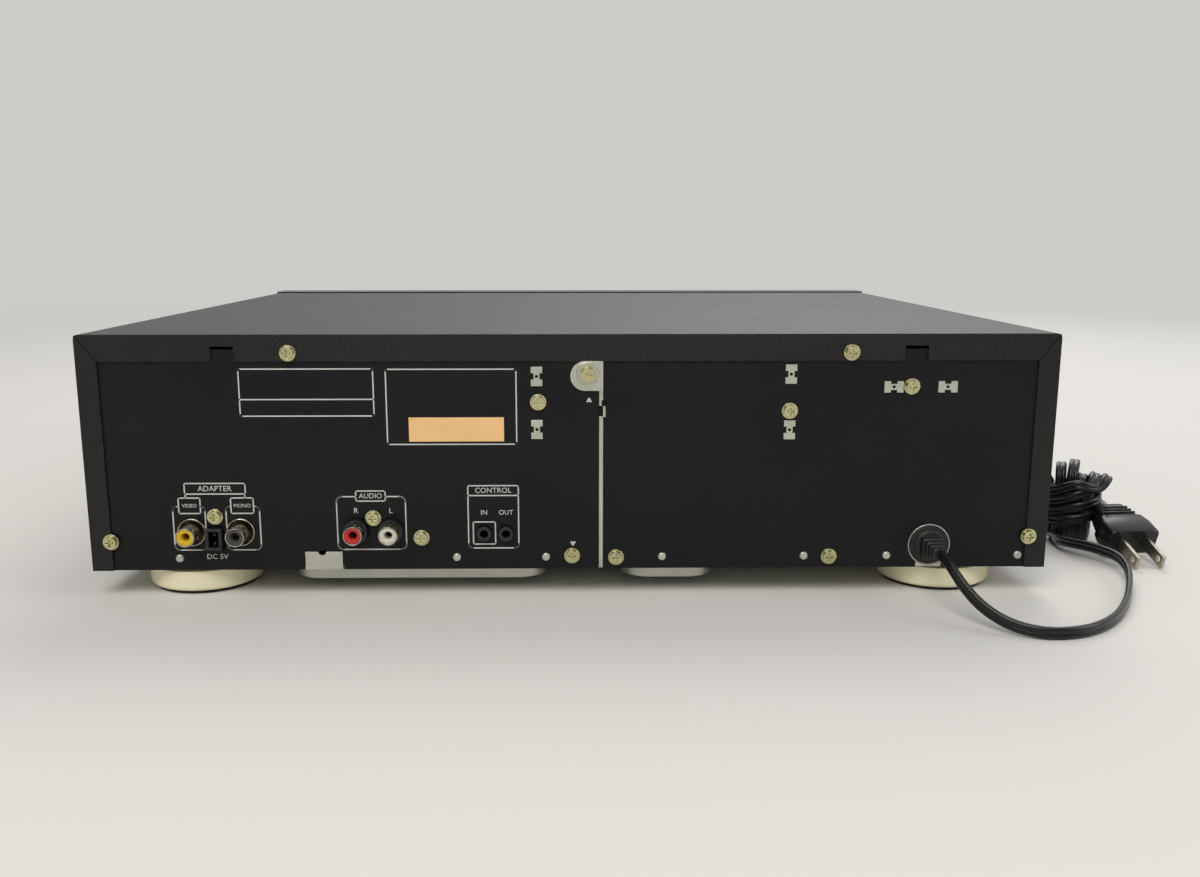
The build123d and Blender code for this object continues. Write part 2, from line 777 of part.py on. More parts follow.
def gear_outline(radius, teeth):
    """A spur gear's outline about the origin, with one tooth on the +X axis."""
    points = []
    tip_half = (tooth_half - slope) / (radius + gear_module)
    pitch_half = tooth_half / radius
    tip_radius = radius + gear_module * tooth_reach
    root_radius = radius - gear_module
    root_half = (tooth_half + slope) / (radius - gear_module)
    for tooth in range(teeth):
        middle = 2 * pi * tooth / teeth
        for angle, reach in (
            (-root_half, root_radius), (-pitch_half, radius), (-tip_half, tip_radius),
            (tip_half, tip_radius), (pitch_half, radius), (root_half, root_radius),
        ):
            points.append((reach * cos(middle + angle), reach * sin(middle + angle)))
    return points


recess_radius = disc_radius + disc_recess_gap
with BuildPart() as disc_tray:
    block(
        (-tray_half_width, tray_half_width), (tray_front_edge_y, tray_rear_y), (tray_bottom_z, tray_rim_z)
    )
    fillet(
        disc_tray.edges().filter_by(Axis.Z).group_by(Axis.Y)[-1],
        radius=tray_corner,
    )
    upright(0, disc_centre_y, (tray_floor_z, tray_rim_z), recess_radius, Mode.SUBTRACT)
    upright(
        0, disc_centre_y, (tray_floor_z - small_recess_depth, tray_rim_z), small_disc_radius,
        Mode.SUBTRACT,
    )
    upright(0, disc_centre_y, (tray_bottom_z, tray_rim_z), slot_half_width, Mode.SUBTRACT)
    block(
        (-slot_half_width, slot_half_width), (disc_centre_y, tray_rear_y + sheet),
        (tray_bottom_z, tray_rim_z), Mode.SUBTRACT,
    )
    block(
        (tray_rear_arm - tray_half_width, tray_half_width - tray_rear_arm),
        (tray_rear_y - tray_rear_arm_length, tray_rear_y + sheet),
        (tray_bottom_z, tray_rim_z), Mode.SUBTRACT,
    )
    for side in (-1, 1):
        block(
            (min(side * tray_half_width, side * (tray_half_width + runner_reach)),
             max(side * tray_half_width, side * (tray_half_width + runner_reach))),
            (tray_front_edge_y + sheet, tray_rear_y), runner_z,
        )
    with BuildSketch(Plane.XY.offset(tray_rack_z)):
        with BuildLine():
            Polyline(
                *rack_outline(
                    tray_rack_x, tray_rack_x - tray_rack_width, *tray_rack_y, loading_axis_y
                ),
                close=True,
            )
        make_face()
    extrude(amount=tray_bottom_z - tray_rack_z)
disc_tray.part.label = "disc_tray"
export_step(disc_tray.part, "parts/disc_tray.step")

with BuildPart() as tray_front:
    block((-door_width / 2, door_width / 2), (front_y, tray_front_edge_y), (door_z, door_z + door_height))
    fillet(tray_front.faces().sort_by(Axis.Y)[0].edges(), radius=door_edge_radius)
tray_front.part.label = "tray_front"
export_step(tray_front.part, "parts/tray_front.step")

# Guides: an L section each side under the tray's runner, on legs from the pan
guide_inner = tray_half_width + guide_gap
guide_outer = guide_inner + guide_width
guide_top_z = runner_z[0] - fit_gap
guide_y = (panel_back_y + 2 * fit_gap, guide_rear_y)
with BuildPart() as tray_guides:
    for side in (-1, 1):
        inner = side * guide_inner
        outer = side * guide_outer
        wall = side * (guide_outer - guide_wall)
        span = (min(inner, outer), max(inner, outer))
        block(span, guide_y, (guide_top_z - guide_depth, guide_top_z))
        block((min(wall, outer), max(wall, outer)), guide_y, (guide_top_z, guide_top_z + guide_lip_height))
        for y in guide_legs_y:
            block(span, (y, y + guide_leg_length), (pan_top_z, guide_top_z - guide_depth))
tray_guides.part.label = "tray_guides"
export_step(tray_guides.part, "parts/tray_guides.step")

# Mechanism plate on four dampers, with blocks for the carriage rails and a post for the gear
feed_pitch_x = rack_x + rack_bar_width + gear_module
feed_axis_x = feed_pitch_x + feed_radius + mesh_gap
motor_top_z = plate_top_z + motor_height
carriage_start_y = rail_front_y + rail_block_length + carriage_gap
carriage_y = (carriage_start_y, carriage_start_y + carriage_length)
rail_rear_y = carriage_y[1] + carriage_travel + carriage_gap
plate_rear_y = rail_rear_y + rail_block_length + plate_rear_margin
lens_y = carriage_y[0] + lens_setback
with BuildPart() as mechanism_base:
    block((-plate_half_width, plate_half_width), (plate_front_y, plate_rear_y), (plate_z, plate_top_z))
    fillet(mechanism_base.edges().filter_by(Axis.Z), radius=plate_corner)
    for side in (-1, 1):
        for y in (rail_front_y, rail_rear_y):
            block(
                (side * rail_x - rail_block_half_width, side * rail_x + rail_block_half_width),
                (y, y + rail_block_length), (plate_z, rail_z + rail_block_half_width),
            )
        lengthwise(
            side * rail_x, (rail_front_y, rail_rear_y + rail_block_length), rail_z, rail_radius,
            Mode.SUBTRACT,
        )
    upright(feed_axis_x, feed_axis_y, (plate_z, plate_top_z), shaft_hole_radius, Mode.SUBTRACT)
    upright(loading_motor_x, loading_axis_y, (plate_z, plate_top_z), shaft_hole_radius, Mode.SUBTRACT)
    upright(
        loading_axis_x, loading_axis_y, (plate_z, loading_gear_z + loading_gear_height - sheet),
        loading_post_radius,
    )
mechanism_base.part.label = "mechanism_base"
export_step(mechanism_base.part, "parts/mechanism_base.step")

with BuildPart() as base_dampers:
    for x, y in pillar_places:
        upright(x, y, (plate_z - damper_height, plate_z), damper_radius)
    fillet(base_dampers.edges().filter_by(GeomType.CIRCLE), radius=damper_edge_radius)
base_dampers.part.label = "base_dampers"
export_step(base_dampers.part, "parts/base_dampers.step")

with BuildPart() as carriage_rails:
    for side in (-1, 1):
        lengthwise(side * rail_x, (rail_front_y, rail_rear_y + rail_block_length), rail_z, rail_radius)
carriage_rails.part.label = "carriage_rails"
export_step(carriage_rails.part, "parts/carriage_rails.step")

# Spindle motor and turntable
turntable_z = disc_plane_z - turntable_thickness
with BuildPart() as spindle_motor:
    upright(0, disc_centre_y, (plate_top_z, motor_top_z), motor_radius)
    fillet(
        spindle_motor.edges().filter_by(GeomType.CIRCLE).group_by(Axis.Z)[-1],
        radius=motor_edge_radius,
    )
    upright(0, disc_centre_y, (plate_top_z, disc_plane_z + sheet), motor_shaft_radius)
spindle_motor.part.label = "spindle_motor"
export_step(spindle_motor.part, "parts/spindle_motor.step")

with BuildPart() as turntable:
    upright(0, disc_centre_y, (motor_top_z + fit_gap, turntable_z), turntable_boss_radius)
    upright(0, disc_centre_y, (turntable_z, disc_plane_z), turntable_radius)
    with Locations((0, disc_centre_y, disc_plane_z + hub_height / 2)):
        Cone(hub_radius, hub_top_radius, hub_height)
    upright(
        0, disc_centre_y, (motor_top_z, disc_plane_z + hub_height), motor_shaft_radius + shaft_gap,
        Mode.SUBTRACT,
    )
turntable.part.label = "turntable"
export_step(turntable.part, "parts/turntable.step")

# Pickup carriage with its rack, on the two rails
feed_rack_y = (feed_axis_y - carriage_travel - 2 * rack_pitch, feed_axis_y + 2 * rack_pitch)
rack_z = (feed_gear_z + sheet, feed_gear_z + feed_gear_height - sheet)
with BuildPart() as pickup_carriage:
    block((-carriage_half_width, carriage_half_width), carriage_y, carriage_z)
    fillet(pickup_carriage.edges().filter_by(Axis.Z), radius=carriage_edge_radius)
    upright(0, lens_y, (carriage_z[1], carriage_z[1] + lens_well_height), lens_well_radius)
    upright(0, lens_y, (carriage_z[1], carriage_z[1] + lens_well_height), lens_well_inner, Mode.SUBTRACT)
    block(
        (carriage_half_width - sheet, rack_x), (carriage_y[0] + rack_inset, carriage_y[1] - rack_inset),
        rack_z,
    )
    with BuildSketch(Plane.XY.offset(rack_z[0])):
        with BuildLine():
            Polyline(
                *rack_outline(rack_x, rack_x + rack_bar_width, *feed_rack_y, feed_axis_y), close=True
            )
        make_face()
    extrude(amount=rack_z[1] - rack_z[0])
    for side in (-1, 1):
        lengthwise(
            side * rail_x, (carriage_y[0], carriage_y[1]), rail_z, rail_radius + hinge_gap, Mode.SUBTRACT
        )
pickup_carriage.part.label = "pickup_carriage"
export_step(pickup_carriage.part, "parts/pickup_carriage.step")

lens_bottom_z = carriage_z[1] + lens_travel + fit_gap
with BuildPart() as objective_lens:
    upright(0, lens_y, (lens_bottom_z, carriage_z[1] + lens_well_height + lens_rise), lens_holder_radius)
    with Locations((0, lens_y, carriage_z[1] + lens_well_height + lens_rise)):
        Sphere(lens_radius)
objective_lens.part.label = "objective_lens"
export_step(objective_lens.part, "parts/objective_lens.step")

# Feed motor under the plate and its pinion, in mesh with the carriage's rack
with BuildPart() as feed_motor:
    upright(feed_axis_x, feed_axis_y, (plate_z - feed_motor_height, plate_z), feed_motor_radius)
    upright(feed_axis_x, feed_axis_y, (plate_z, feed_gear_z + feed_gear_height), feed_shaft_radius)
feed_motor.part.label = "feed_motor"
export_step(feed_motor.part, "parts/feed_motor.step")

with BuildPart() as feed_pinion:
    with BuildSketch(Plane((feed_axis_x, feed_axis_y, feed_gear_z), x_dir=(-1, 0, 0))):
        with BuildLine():
            Polyline(*gear_outline(feed_radius, feed_teeth), close=True)
        make_face()
    extrude(amount=feed_gear_height)
    upright(feed_axis_x, feed_axis_y, (plate_top_z + fit_gap, feed_gear_z), feed_boss_radius)
    upright(
        feed_axis_x, feed_axis_y, (plate_top_z, feed_gear_z + feed_gear_height),
        feed_shaft_radius + shaft_gap, Mode.SUBTRACT,
    )
feed_pinion.part.label = "feed_pinion"
export_step(feed_pinion.part, "parts/feed_pinion.step")

# Loading drive: motor, belt and a gear in mesh with the tray's rack
groove_z = (pulley_z + groove_depth, pulley_z + pulley_height - groove_depth)
with BuildPart() as loading_gear:
    with BuildSketch(Plane((loading_axis_x, loading_axis_y, loading_gear_z))):
        with BuildLine():
            Polyline(*gear_outline(loading_radius, loading_teeth), close=True)
        make_face()
    extrude(amount=loading_gear_height)
    upright(
        loading_axis_x, loading_axis_y, (plate_top_z + fit_gap, loading_gear_z), loading_boss_radius
    )
    upright(loading_axis_x, loading_axis_y, (pulley_z, pulley_z + pulley_height), pulley_radius)
    with Locations((loading_axis_x, loading_axis_y, (groove_z[0] + groove_z[1]) / 2)):
        Cylinder(pulley_radius + sheet, groove_z[1] - groove_z[0], mode=Mode.SUBTRACT)
        Cylinder(pulley_radius - groove_depth, groove_z[1] - groove_z[0])
    upright(
        loading_axis_x, loading_axis_y, (plate_top_z, loading_gear_z + loading_gear_height),
        loading_post_radius + shaft_gap, Mode.SUBTRACT,
    )
loading_gear.part.label = "loading_gear"
export_step(loading_gear.part, "parts/loading_gear.step")

with BuildPart() as loading_motor:
    upright(loading_motor_x, loading_axis_y, (plate_z - feed_motor_height, plate_z), loading_motor_radius)
    upright(loading_motor_x, loading_axis_y, (plate_z, pulley_z + pulley_height), feed_shaft_radius)
loading_motor.part.label = "loading_motor"
export_step(loading_motor.part, "parts/loading_motor.step")

with BuildPart() as motor_pulley:
    upright(
        loading_motor_x, loading_axis_y, (pulley_z, pulley_z + pulley_height),
        motor_pulley_radius + groove_depth,
    )
    with Locations((loading_motor_x, loading_axis_y, (groove_z[0] + groove_z[1]) / 2)):
        Cylinder(motor_pulley_radius + 2 * groove_depth, groove_z[1] - groove_z[0], mode=Mode.SUBTRACT)
        Cylinder(motor_pulley_radius, groove_z[1] - groove_z[0])
    upright(
        loading_motor_x, loading_axis_y, (plate_top_z + fit_gap, pulley_z), motor_pulley_boss_radius
    )
    upright(
        loading_motor_x, loading_axis_y, (plate_top_z, pulley_z + pulley_height),
        feed_shaft_radius + shaft_gap, Mode.SUBTRACT,
    )
motor_pulley.part.label = "motor_pulley"
export_step(motor_pulley.part, "parts/motor_pulley.step")

belt_z = (groove_z[0] + groove_z[1] - belt_height) / 2
with BuildPart() as drive_belt:
    with BuildSketch(Plane.XY.offset(belt_z)) as belt_outline:
        with Locations((loading_axis_x, loading_axis_y)):
            Circle(pulley_radius - groove_depth + belt_gap + belt_thickness)
        with Locations((loading_motor_x, loading_axis_y)):
            Circle(motor_pulley_radius + belt_gap + belt_thickness)
        make_hull(belt_outline.edges())
    extrude(amount=belt_height)
    with BuildSketch(Plane.XY.offset(belt_z)) as belt_inside:
        with Locations((loading_axis_x, loading_axis_y)):
            Circle(pulley_radius - groove_depth + belt_gap)
        with Locations((loading_motor_x, loading_axis_y)):
            Circle(motor_pulley_radius + belt_gap)
        make_hull(belt_inside.edges())
    extrude(amount=belt_height, mode=Mode.SUBTRACT)
drive_belt.part.label = "drive_belt"
export_step(drive_belt.part, "parts/drive_belt.step")

# Clamp: a bridge over the tray, a hinged arm and a puck that turns with the disc
bridge_top_z = bridge_z + bridge_sheet
with BuildPart() as clamp_bridge:
    block((-bridge_x, bridge_x), bridge_y, (bridge_z, bridge_top_z))
    for side in (-1, 1):
        leg = side * (bridge_x - bridge_sheet / 2)
        block((leg - bridge_sheet / 2, leg + bridge_sheet / 2), bridge_y, (pan_top_z, bridge_top_z))
        foot = side * (bridge_x - bridge_foot / 2)
        block(
            (foot - bridge_foot / 2, foot + bridge_foot / 2), bridge_y, (pan_top_z, pan_top_z + bridge_sheet)
        )
        ear = side * (ear_half_gap + ear_thickness / 2)
        block(
            (ear - ear_thickness / 2, ear + ear_thickness / 2),
            (bridge_y[0] - ear_reach, bridge_y[0] + ear_reach), (bridge_z, bridge_z + ear_height),
        )
    crosswise(
        (-ear_half_gap - ear_thickness, ear_half_gap + ear_thickness), hinge_y, hinge_z, hinge_pin_radius
    )
clamp_bridge.part.label = "clamp_bridge"
export_step(clamp_bridge.part, "parts/clamp_bridge.step")

with BuildPart() as clamp_arm:
    with BuildSketch(Plane.XY.offset(arm_z)):
        with Locations((0, (hinge_y + disc_centre_y) / 2)):
            Rectangle(2 * arm_half_width, hinge_y - disc_centre_y)
        with Locations((0, disc_centre_y)):
            Circle(arm_end_radius)
            Circle(puck_stem_radius + shaft_gap, mode=Mode.SUBTRACT)
    extrude(amount=arm_thickness)
    crosswise((-arm_half_width, arm_half_width), hinge_y, hinge_z, hinge_barrel_radius)
    crosswise(
        (-arm_half_width, arm_half_width), hinge_y, hinge_z, hinge_pin_radius + hinge_gap, Mode.SUBTRACT
    )
clamp_arm.part.label = "clamp_arm"
export_step(clamp_arm.part, "parts/clamp_arm.step")

puck_z = disc_plane_z + disc_thickness
puck_cap_z = arm_z + arm_thickness + fit_gap
with BuildPart() as clamp_puck:
    upright(0, disc_centre_y, (puck_z, puck_z + puck_thickness), puck_radius)
    fillet(clamp_puck.edges().filter_by(GeomType.CIRCLE), radius=puck_edge_radius)
    upright(0, disc_centre_y, (puck_z, puck_z + puck_recess_depth), puck_recess_radius, Mode.SUBTRACT)
    upright(0, disc_centre_y, (puck_z + puck_recess_depth, puck_cap_z), puck_stem_radius)
    upright(0, disc_centre_y, (puck_cap_z, puck_cap_z + puck_cap_thickness), puck_cap_radius)
clamp_puck.part.label = "clamp_puck"
export_step(clamp_puck.part, "parts/clamp_puck.step")

# Boards on the pan
with BuildPart() as signal_board:
    block(signal_board_x, signal_board_y, (board_z, board_top_z))
signal_board.part.label = "signal_board"
export_step(signal_board.part, "parts/signal_board.step")

with BuildPart() as main_board:
    block(main_board_x, main_board_y, (board_z, board_top_z))
    with Locations(*[(x, y, board_top_z + chip_height / 2) for x, y in chip_places]):
        Box(chip_width, chip_width, chip_height)
main_board.part.label = "main_board"
export_step(main_board.part, "parts/main_board.step")

with BuildPart() as power_board:
    block(power_board_x, power_board_y, (board_z, board_top_z))
power_board.part.label = "power_board"
export_step(power_board.part, "parts/power_board.step")

with BuildPart() as capacitors:
    for y in capacitors_y:
        upright(capacitor_x, y, (board_top_z, board_top_z + capacitor_height), capacitor_radius)
    fillet(
        capacitors.edges().filter_by(GeomType.CIRCLE).group_by(Axis.Z)[-1],
        radius=capacitor_edge_radius,
    )
capacitors.part.label = "capacitors"
export_step(capacitors.part, "parts/capacitors.step")

with BuildPart() as heat_sink:
    block((sink_x[0], sink_x[0] + 2 * sink_fin_thickness), sink_y, (board_top_z, board_top_z + sink_height))
    fin_step = (sink_y[1] - sink_y[0] - sink_fin_thickness) / (sink_fins - 1)
    for index in range(sink_fins):
        fin_y = sink_y[0] + index * fin_step
        block(sink_x, (fin_y, fin_y + sink_fin_thickness), (board_top_z, board_top_z + sink_height))
heat_sink.part.label = "heat_sink"
export_step(heat_sink.part, "parts/heat_sink.step")

# Mains transformer: a laminated core with its coil round the middle limb
core_z = (pan_top_z, pan_top_z + core_height)
core_middle_x = (core_x[0] + core_x[1]) / 2
limb_half = (core_x[1] - core_x[0] - 2 * core_yoke - 2 * core_window_width) / 2
coil_window_z = (core_z[0] + core_yoke, core_z[1] - core_yoke)
with BuildPart() as transformer_core:
    block(core_x, core_y, core_z)
    for side in (-1, 1):
        window = core_middle_x + side * (limb_half + core_window_width / 2)
        block(
            (window - core_window_width / 2, window + core_window_width / 2), core_y, coil_window_z,
            Mode.SUBTRACT,
        )
transformer_core.part.label = "transformer_core"
export_step(transformer_core.part, "parts/transformer_core.step")

coil_half = limb_half + core_window_width - fit_gap
with BuildPart() as transformer_coil:
    block(
        (core_middle_x - coil_half, core_middle_x + coil_half),
        (core_y[0] - coil_overhang, core_y[1] + coil_overhang),
        (coil_window_z[0] + fit_gap, coil_window_z[1] - fit_gap),
    )
    fillet(transformer_coil.edges().filter_by(Axis.Z), radius=coil_corner)
    block(
        (core_middle_x - limb_half - fit_gap, core_middle_x + limb_half + fit_gap),
        (core_y[0] - fit_gap, core_y[1] + fit_gap), core_z, Mode.SUBTRACT,
    )
transformer_coil.part.label = "transformer_coil"
export_step(transformer_coil.part, "parts/transformer_coil.step")

# Pin sockets: a collar behind the panel's hole and a hollow barrel
pin_height = base_z + pin_z
for name, x in (("video_jack", video_x), ("mono_audio_jack", mono_x)):
    with BuildPart() as pin_jack:
        lengthwise(x, (rear_y - socket_depth, panel_y + pin_collar_proud), pin_height, pin_collar_radius)
        lengthwise(x, (panel_y + pin_collar_proud, rear_y + jack_proud), pin_height, pin_radius)
        block(
            (x - pin_collar_radius, x + pin_collar_radius), (rear_y - socket_depth, panel_inner_y - fit_gap),
            (board_top_z, pin_height),
        )
        lengthwise(
            x, (rear_y + jack_proud - pin_bore_depth, rear_y + jack_proud), pin_height, pin_bore_radius,
            Mode.SUBTRACT,
        )
    pin_jack.part.label = name
    export_step(pin_jack.part, "parts/" + name + ".step")

with BuildPart() as dc_out_socket:
    dc_height_z = base_z + dc_z
    block(
        (dc_x - dc_width / 2, dc_x + dc_width / 2), (rear_y - socket_depth, panel_y + dc_proud),
        (dc_height_z - dc_height / 2, dc_height_z + dc_height / 2),
    )
    fillet(dc_out_socket.edges().filter_by(Axis.Y), radius=dc_corner)
    block(
        (dc_x - dc_width / 2 + dc_wall, dc_x + dc_width / 2 - dc_wall),
        (panel_y - dc_height, panel_y + dc_proud),
        (dc_height_z - dc_height / 2 + dc_wall, dc_height_z + dc_height / 2 - dc_wall), Mode.SUBTRACT,
    )
    for side in (-1, 1):
        lengthwise(
            dc_x, (panel_y - dc_height, panel_y + dc_proud / 2), dc_height_z + side * dc_height / 5,
            dc_pin_radius,
        )
dc_out_socket.part.label = "dc_out_socket"
export_step(dc_out_socket.part, "parts/dc_out_socket.step")

# Twin audio socket: one black block with two sleeves, and a coloured barrel in each
audio_height = base_z + audio_z
audio_middle = (audio_x[0] + audio_x[1]) / 2
with BuildPart() as audio_jack_block:
    block(
        (audio_middle - audio_block_width / 2, audio_middle + audio_block_width / 2),
        (rear_y - socket_depth, panel_inner_y - fit_gap),
        (board_top_z, audio_height + audio_block_height / 2),
    )
    for x in audio_x:
        lengthwise(
            x, (rear_y - socket_depth, panel_y + audio_sleeve_proud), audio_height, audio_sleeve_radius
        )
        lengthwise(
            x, (rear_y - socket_depth / 2, panel_y + audio_sleeve_proud), audio_height,
            audio_core_radius, Mode.SUBTRACT,
        )
    lengthwise_set(screw_holes, (rear_y - socket_depth, rear_y), screw_hole_radius, Mode.SUBTRACT)
audio_jack_block.part.label = "audio_jack_block"
export_step(audio_jack_block.part, "parts/audio_jack_block.step")

for name, x in (("audio_jack_left", audio_x[1]), ("audio_jack_right", audio_x[0])):
    with BuildPart() as audio_jack:
        lengthwise(
            x, (rear_y - socket_depth / 2, panel_y + audio_sleeve_proud), audio_height, audio_core_radius
        )
        lengthwise(x, (panel_y + audio_sleeve_proud, rear_y + jack_proud), audio_height, pin_radius)
        lengthwise(
            x, (rear_y + jack_proud - pin_bore_depth, rear_y + jack_proud), audio_height, pin_bore_radius,
            Mode.SUBTRACT,
        )
    audio_jack.part.label = name
    export_step(audio_jack.part, "parts/" + name + ".step")

control_height = base_z + control_z
control_middle = (control_x[0] + control_x[1]) / 2
with BuildPart() as control_jacks:
    block(
        (control_middle - control_block_width / 2, control_middle + control_block_width / 2),
        (rear_y - socket_depth, panel_inner_y - fit_gap),
        (board_top_z, control_height + control_block_height / 2),
    )
    for x in control_x:
        lengthwise(
            x, (panel_inner_y - fit_gap, panel_y + control_nose_proud), control_height,
            control_nose_radius,
        )
        lengthwise(
            x, (panel_y + control_nose_proud - control_bore_depth, panel_y + control_nose_proud),
            control_height, control_bore_radius, Mode.SUBTRACT,
        )
control_jacks.part.label = "control_jacks"
export_step(control_jacks.part, "parts/control_jacks.step")

# Strain relief: a bush through the panel with a lip each side and a tapered nose
gland_height = base_z + gland_z
nose_y = panel_y + gland_nose_length
with BuildPart() as strain_relief:
    lengthwise(gland_x, (panel_inner_y - fit_gap, panel_y + fit_gap), gland_height, gland_neck_radius)
    lengthwise(gland_x, (panel_y, panel_y + gland_lip_proud), gland_height, gland_lip_radius)
    lengthwise(
        gland_x, (panel_inner_y - gland_inside, panel_inner_y - fit_gap), gland_height, gland_collar_radius
    )
    with Locations((gland_x, (panel_y + gland_lip_proud + nose_y) / 2, gland_height)):
        Cone(
            gland_nose_radius, gland_nose_tip_radius, gland_nose_length - gland_lip_proud,
            rotation=(-90, 0, 0),
        )
strain_relief.part.label = "strain_relief"
export_step(strain_relief.part, "parts/strain_relief.step")

# Mains lead, from the strain relief over the floor to the hank
lead_route = (
    (gland_x, 22.5, gland_height), (-158.9, 29.5, 19.6), (-161.5, 36.0, 14.2), (-166.5, 43.8, 8.0),
    (-174.0, 52.0, 3.6), (-184.0, 58.0, 1.6), (-195.5, 59.0, 1.5), (-208.0, 54.5, 1.5),
    (-221.0, 44.0, 1.5), (-233.0, 28.5, 1.6), (-243.5, 11.0, 2.6), (-252.0, -6.0, 4.4),
    (-258.0, -21.5, 6.0), (-259.5, -35.5, 7.0), (-255.0, -48.0, 7.2), (-249.0, -60.0, 7.4),
    (-249.5, -72.0, 8.0), (-255.0, -81.0, 9.0),
)
lead_points = [(gland_x, nose_y, gland_height)]
for x, out, z in lead_route:
    lead_points.append((x, rear_y + out, z))


def bend_radii(points):
    """As large an arc at each corner as its two runs allow."""
    radii = []
    for before, here, after in zip(points, points[1:], points[2:]):
        first = Vector(*here) - Vector(*before)
        second = Vector(*after) - Vector(*here)
        turn = radians(first.get_angle(second))
        radii.append(bend_share * min(first.length, second.length) / tan(turn / 2))
    return radii


lead_radii = bend_radii(lead_points)
with BuildPart() as cord_lead:
    with BuildLine() as lead_line:
        FilletPolyline(*lead_points, radius=lead_radii)
    with BuildSketch(Plane(lead_line.line @ 0, z_dir=lead_line.line % 0)):
        Circle(cord_thickness / 2)
    sweep()
cord_lead.part.label = "cord_lead"
export_step(cord_lead.part, "parts/cord_lead.step")

# The tied hank stands on its lower loops: height, x, half width and half depth at each station
hank_out = -85.0
hank_stations = (
    (0.4, -258.0, 13.0, 10.0), (8.0, -257.0, 16.5, 14.0), (17.0, -257.5, 15.5, 14.5),
    (27.0, -259.0, 15.5, 14.0), (34.0, -263.0, 16.5, 12.0), (42.0, -264.5, 17.0, 9.0),
)
with BuildPart() as cord_hank:
    for height, middle_x, half_wide, half_deep in hank_stations:
        with BuildSketch(Plane.XY.offset(height)):
            with Locations((middle_x, rear_y + hank_out)):
                Ellipse(half_wide, half_deep)
    loft(ruled=True)
cord_hank.part.label = "cord_hank"
export_step(cord_hank.part, "parts/cord_hank.step")

# Two-pin plug: it leans on the near end of the hank, with its blades on the floor
blade_length = 17.0
blade_width = 6.3
blade_thickness = 1.5
blade_spacing = 12.7
blade_hole_radius = 1.6
plug_length = 27.0
plug_front_width = 25.0
plug_rear_width = 15.0
plug_height = 14.0
plug_rear_height = 10.0
plug_corner = 3.5
plug_shoulder = 14.85
plug_taper = 2.0
blade_hole_inset = 3.5
plug_tip = (-275.5, rear_y - 33.0, 3.4)
plug_heading = -4.3
plug_tilt = 20.0
plug_back = Vector(
    -sin(radians(plug_heading)) * cos(radians(plug_tilt)),
    -cos(radians(plug_heading)) * cos(radians(plug_tilt)), sin(radians(plug_tilt)),
)
plug_side = Vector(cos(radians(plug_heading)), -sin(radians(plug_heading)), 0)
plug_face = Vector(*plug_tip) + plug_back * blade_length
with BuildPart() as plug_body:
    for distance, width, height in (
        (0.0, plug_front_width, plug_height), (plug_shoulder, plug_front_width - plug_taper, plug_height),
        (plug_length, plug_rear_width, plug_rear_height),
    ):
        with BuildSketch(Plane(plug_face + plug_back * distance, x_dir=plug_side, z_dir=plug_back)):
            RectangleRounded(width, height, plug_corner)
    loft(ruled=True)
plug_body.part.label = "plug_body"
export_step(plug_body.part, "parts/plug_body.step")

with BuildPart() as plug_blades:
    for side in (-1, 1):
        blade_plane = Plane(
            plug_face + plug_side * (side * blade_spacing / 2 - blade_thickness / 2),
            x_dir=-plug_back, z_dir=plug_side,
        )
        with BuildSketch(blade_plane):
            with Locations((blade_length / 2, 0)):
                Rectangle(blade_length, blade_width)
            with Locations((blade_length - blade_hole_inset, 0)):
                Circle(blade_hole_radius, mode=Mode.SUBTRACT)
        extrude(amount=blade_thickness)
plug_blades.part.label = "plug_blades"
export_step(plug_blades.part, "parts/plug_blades.step")
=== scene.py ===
import math
import bmesh
import bpy
from mathutils import Matrix, Vector


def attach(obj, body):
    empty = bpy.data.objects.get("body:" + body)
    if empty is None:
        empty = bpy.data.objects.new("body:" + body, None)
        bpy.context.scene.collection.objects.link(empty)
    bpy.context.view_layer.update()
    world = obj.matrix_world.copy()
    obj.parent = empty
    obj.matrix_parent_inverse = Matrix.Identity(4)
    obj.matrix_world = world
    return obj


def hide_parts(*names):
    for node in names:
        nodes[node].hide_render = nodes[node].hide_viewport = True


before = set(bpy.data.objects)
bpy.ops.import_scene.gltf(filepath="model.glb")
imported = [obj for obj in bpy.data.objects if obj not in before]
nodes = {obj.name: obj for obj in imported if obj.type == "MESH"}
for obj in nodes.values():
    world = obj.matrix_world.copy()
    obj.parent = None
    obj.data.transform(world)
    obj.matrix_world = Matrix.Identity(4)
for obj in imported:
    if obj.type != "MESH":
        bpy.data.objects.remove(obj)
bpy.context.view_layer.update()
print("frame loaded:", len(nodes), "nodes")

mm = 0.001
rearY = 175.85   # outer face of the cover's rear flange, mm
panelY = 174.85  # outer face of the rear panels
baseZ = 12.0     # lower edge of the case


# camera

cameraLook = {
    "place": (-0.16, 649.95, 157.6),
    "yaw": 0.015, "pitch": 0.193,
    "focalPixels": 1116.3, "pictureWidth": 1200,
    "axisOffset": (12.1, 12.8), "sensor": 36, "clip": (0.02, 60),
}
cameraData = bpy.data.cameras.new("camera")
cameraData.sensor_width = cameraLook["sensor"]
cameraData.lens = cameraLook["focalPixels"] / cameraLook["pictureWidth"] * cameraLook["sensor"]
cameraData.shift_x = cameraLook["axisOffset"][0] / cameraLook["pictureWidth"]
cameraData.shift_y = cameraLook["axisOffset"][1] / cameraLook["pictureWidth"]
cameraData.clip_start, cameraData.clip_end = cameraLook["clip"]
camera = bpy.data.objects.new("camera", cameraData)
bpy.context.scene.collection.objects.link(camera)
camera.location = Vector(cameraLook["place"]) * mm
forward = Vector((
    -math.sin(cameraLook["yaw"]) * math.cos(cameraLook["pitch"]),
    -math.cos(cameraLook["yaw"]) * math.cos(cameraLook["pitch"]),
    -math.sin(cameraLook["pitch"]),
))
camera.rotation_mode = "QUATERNION"
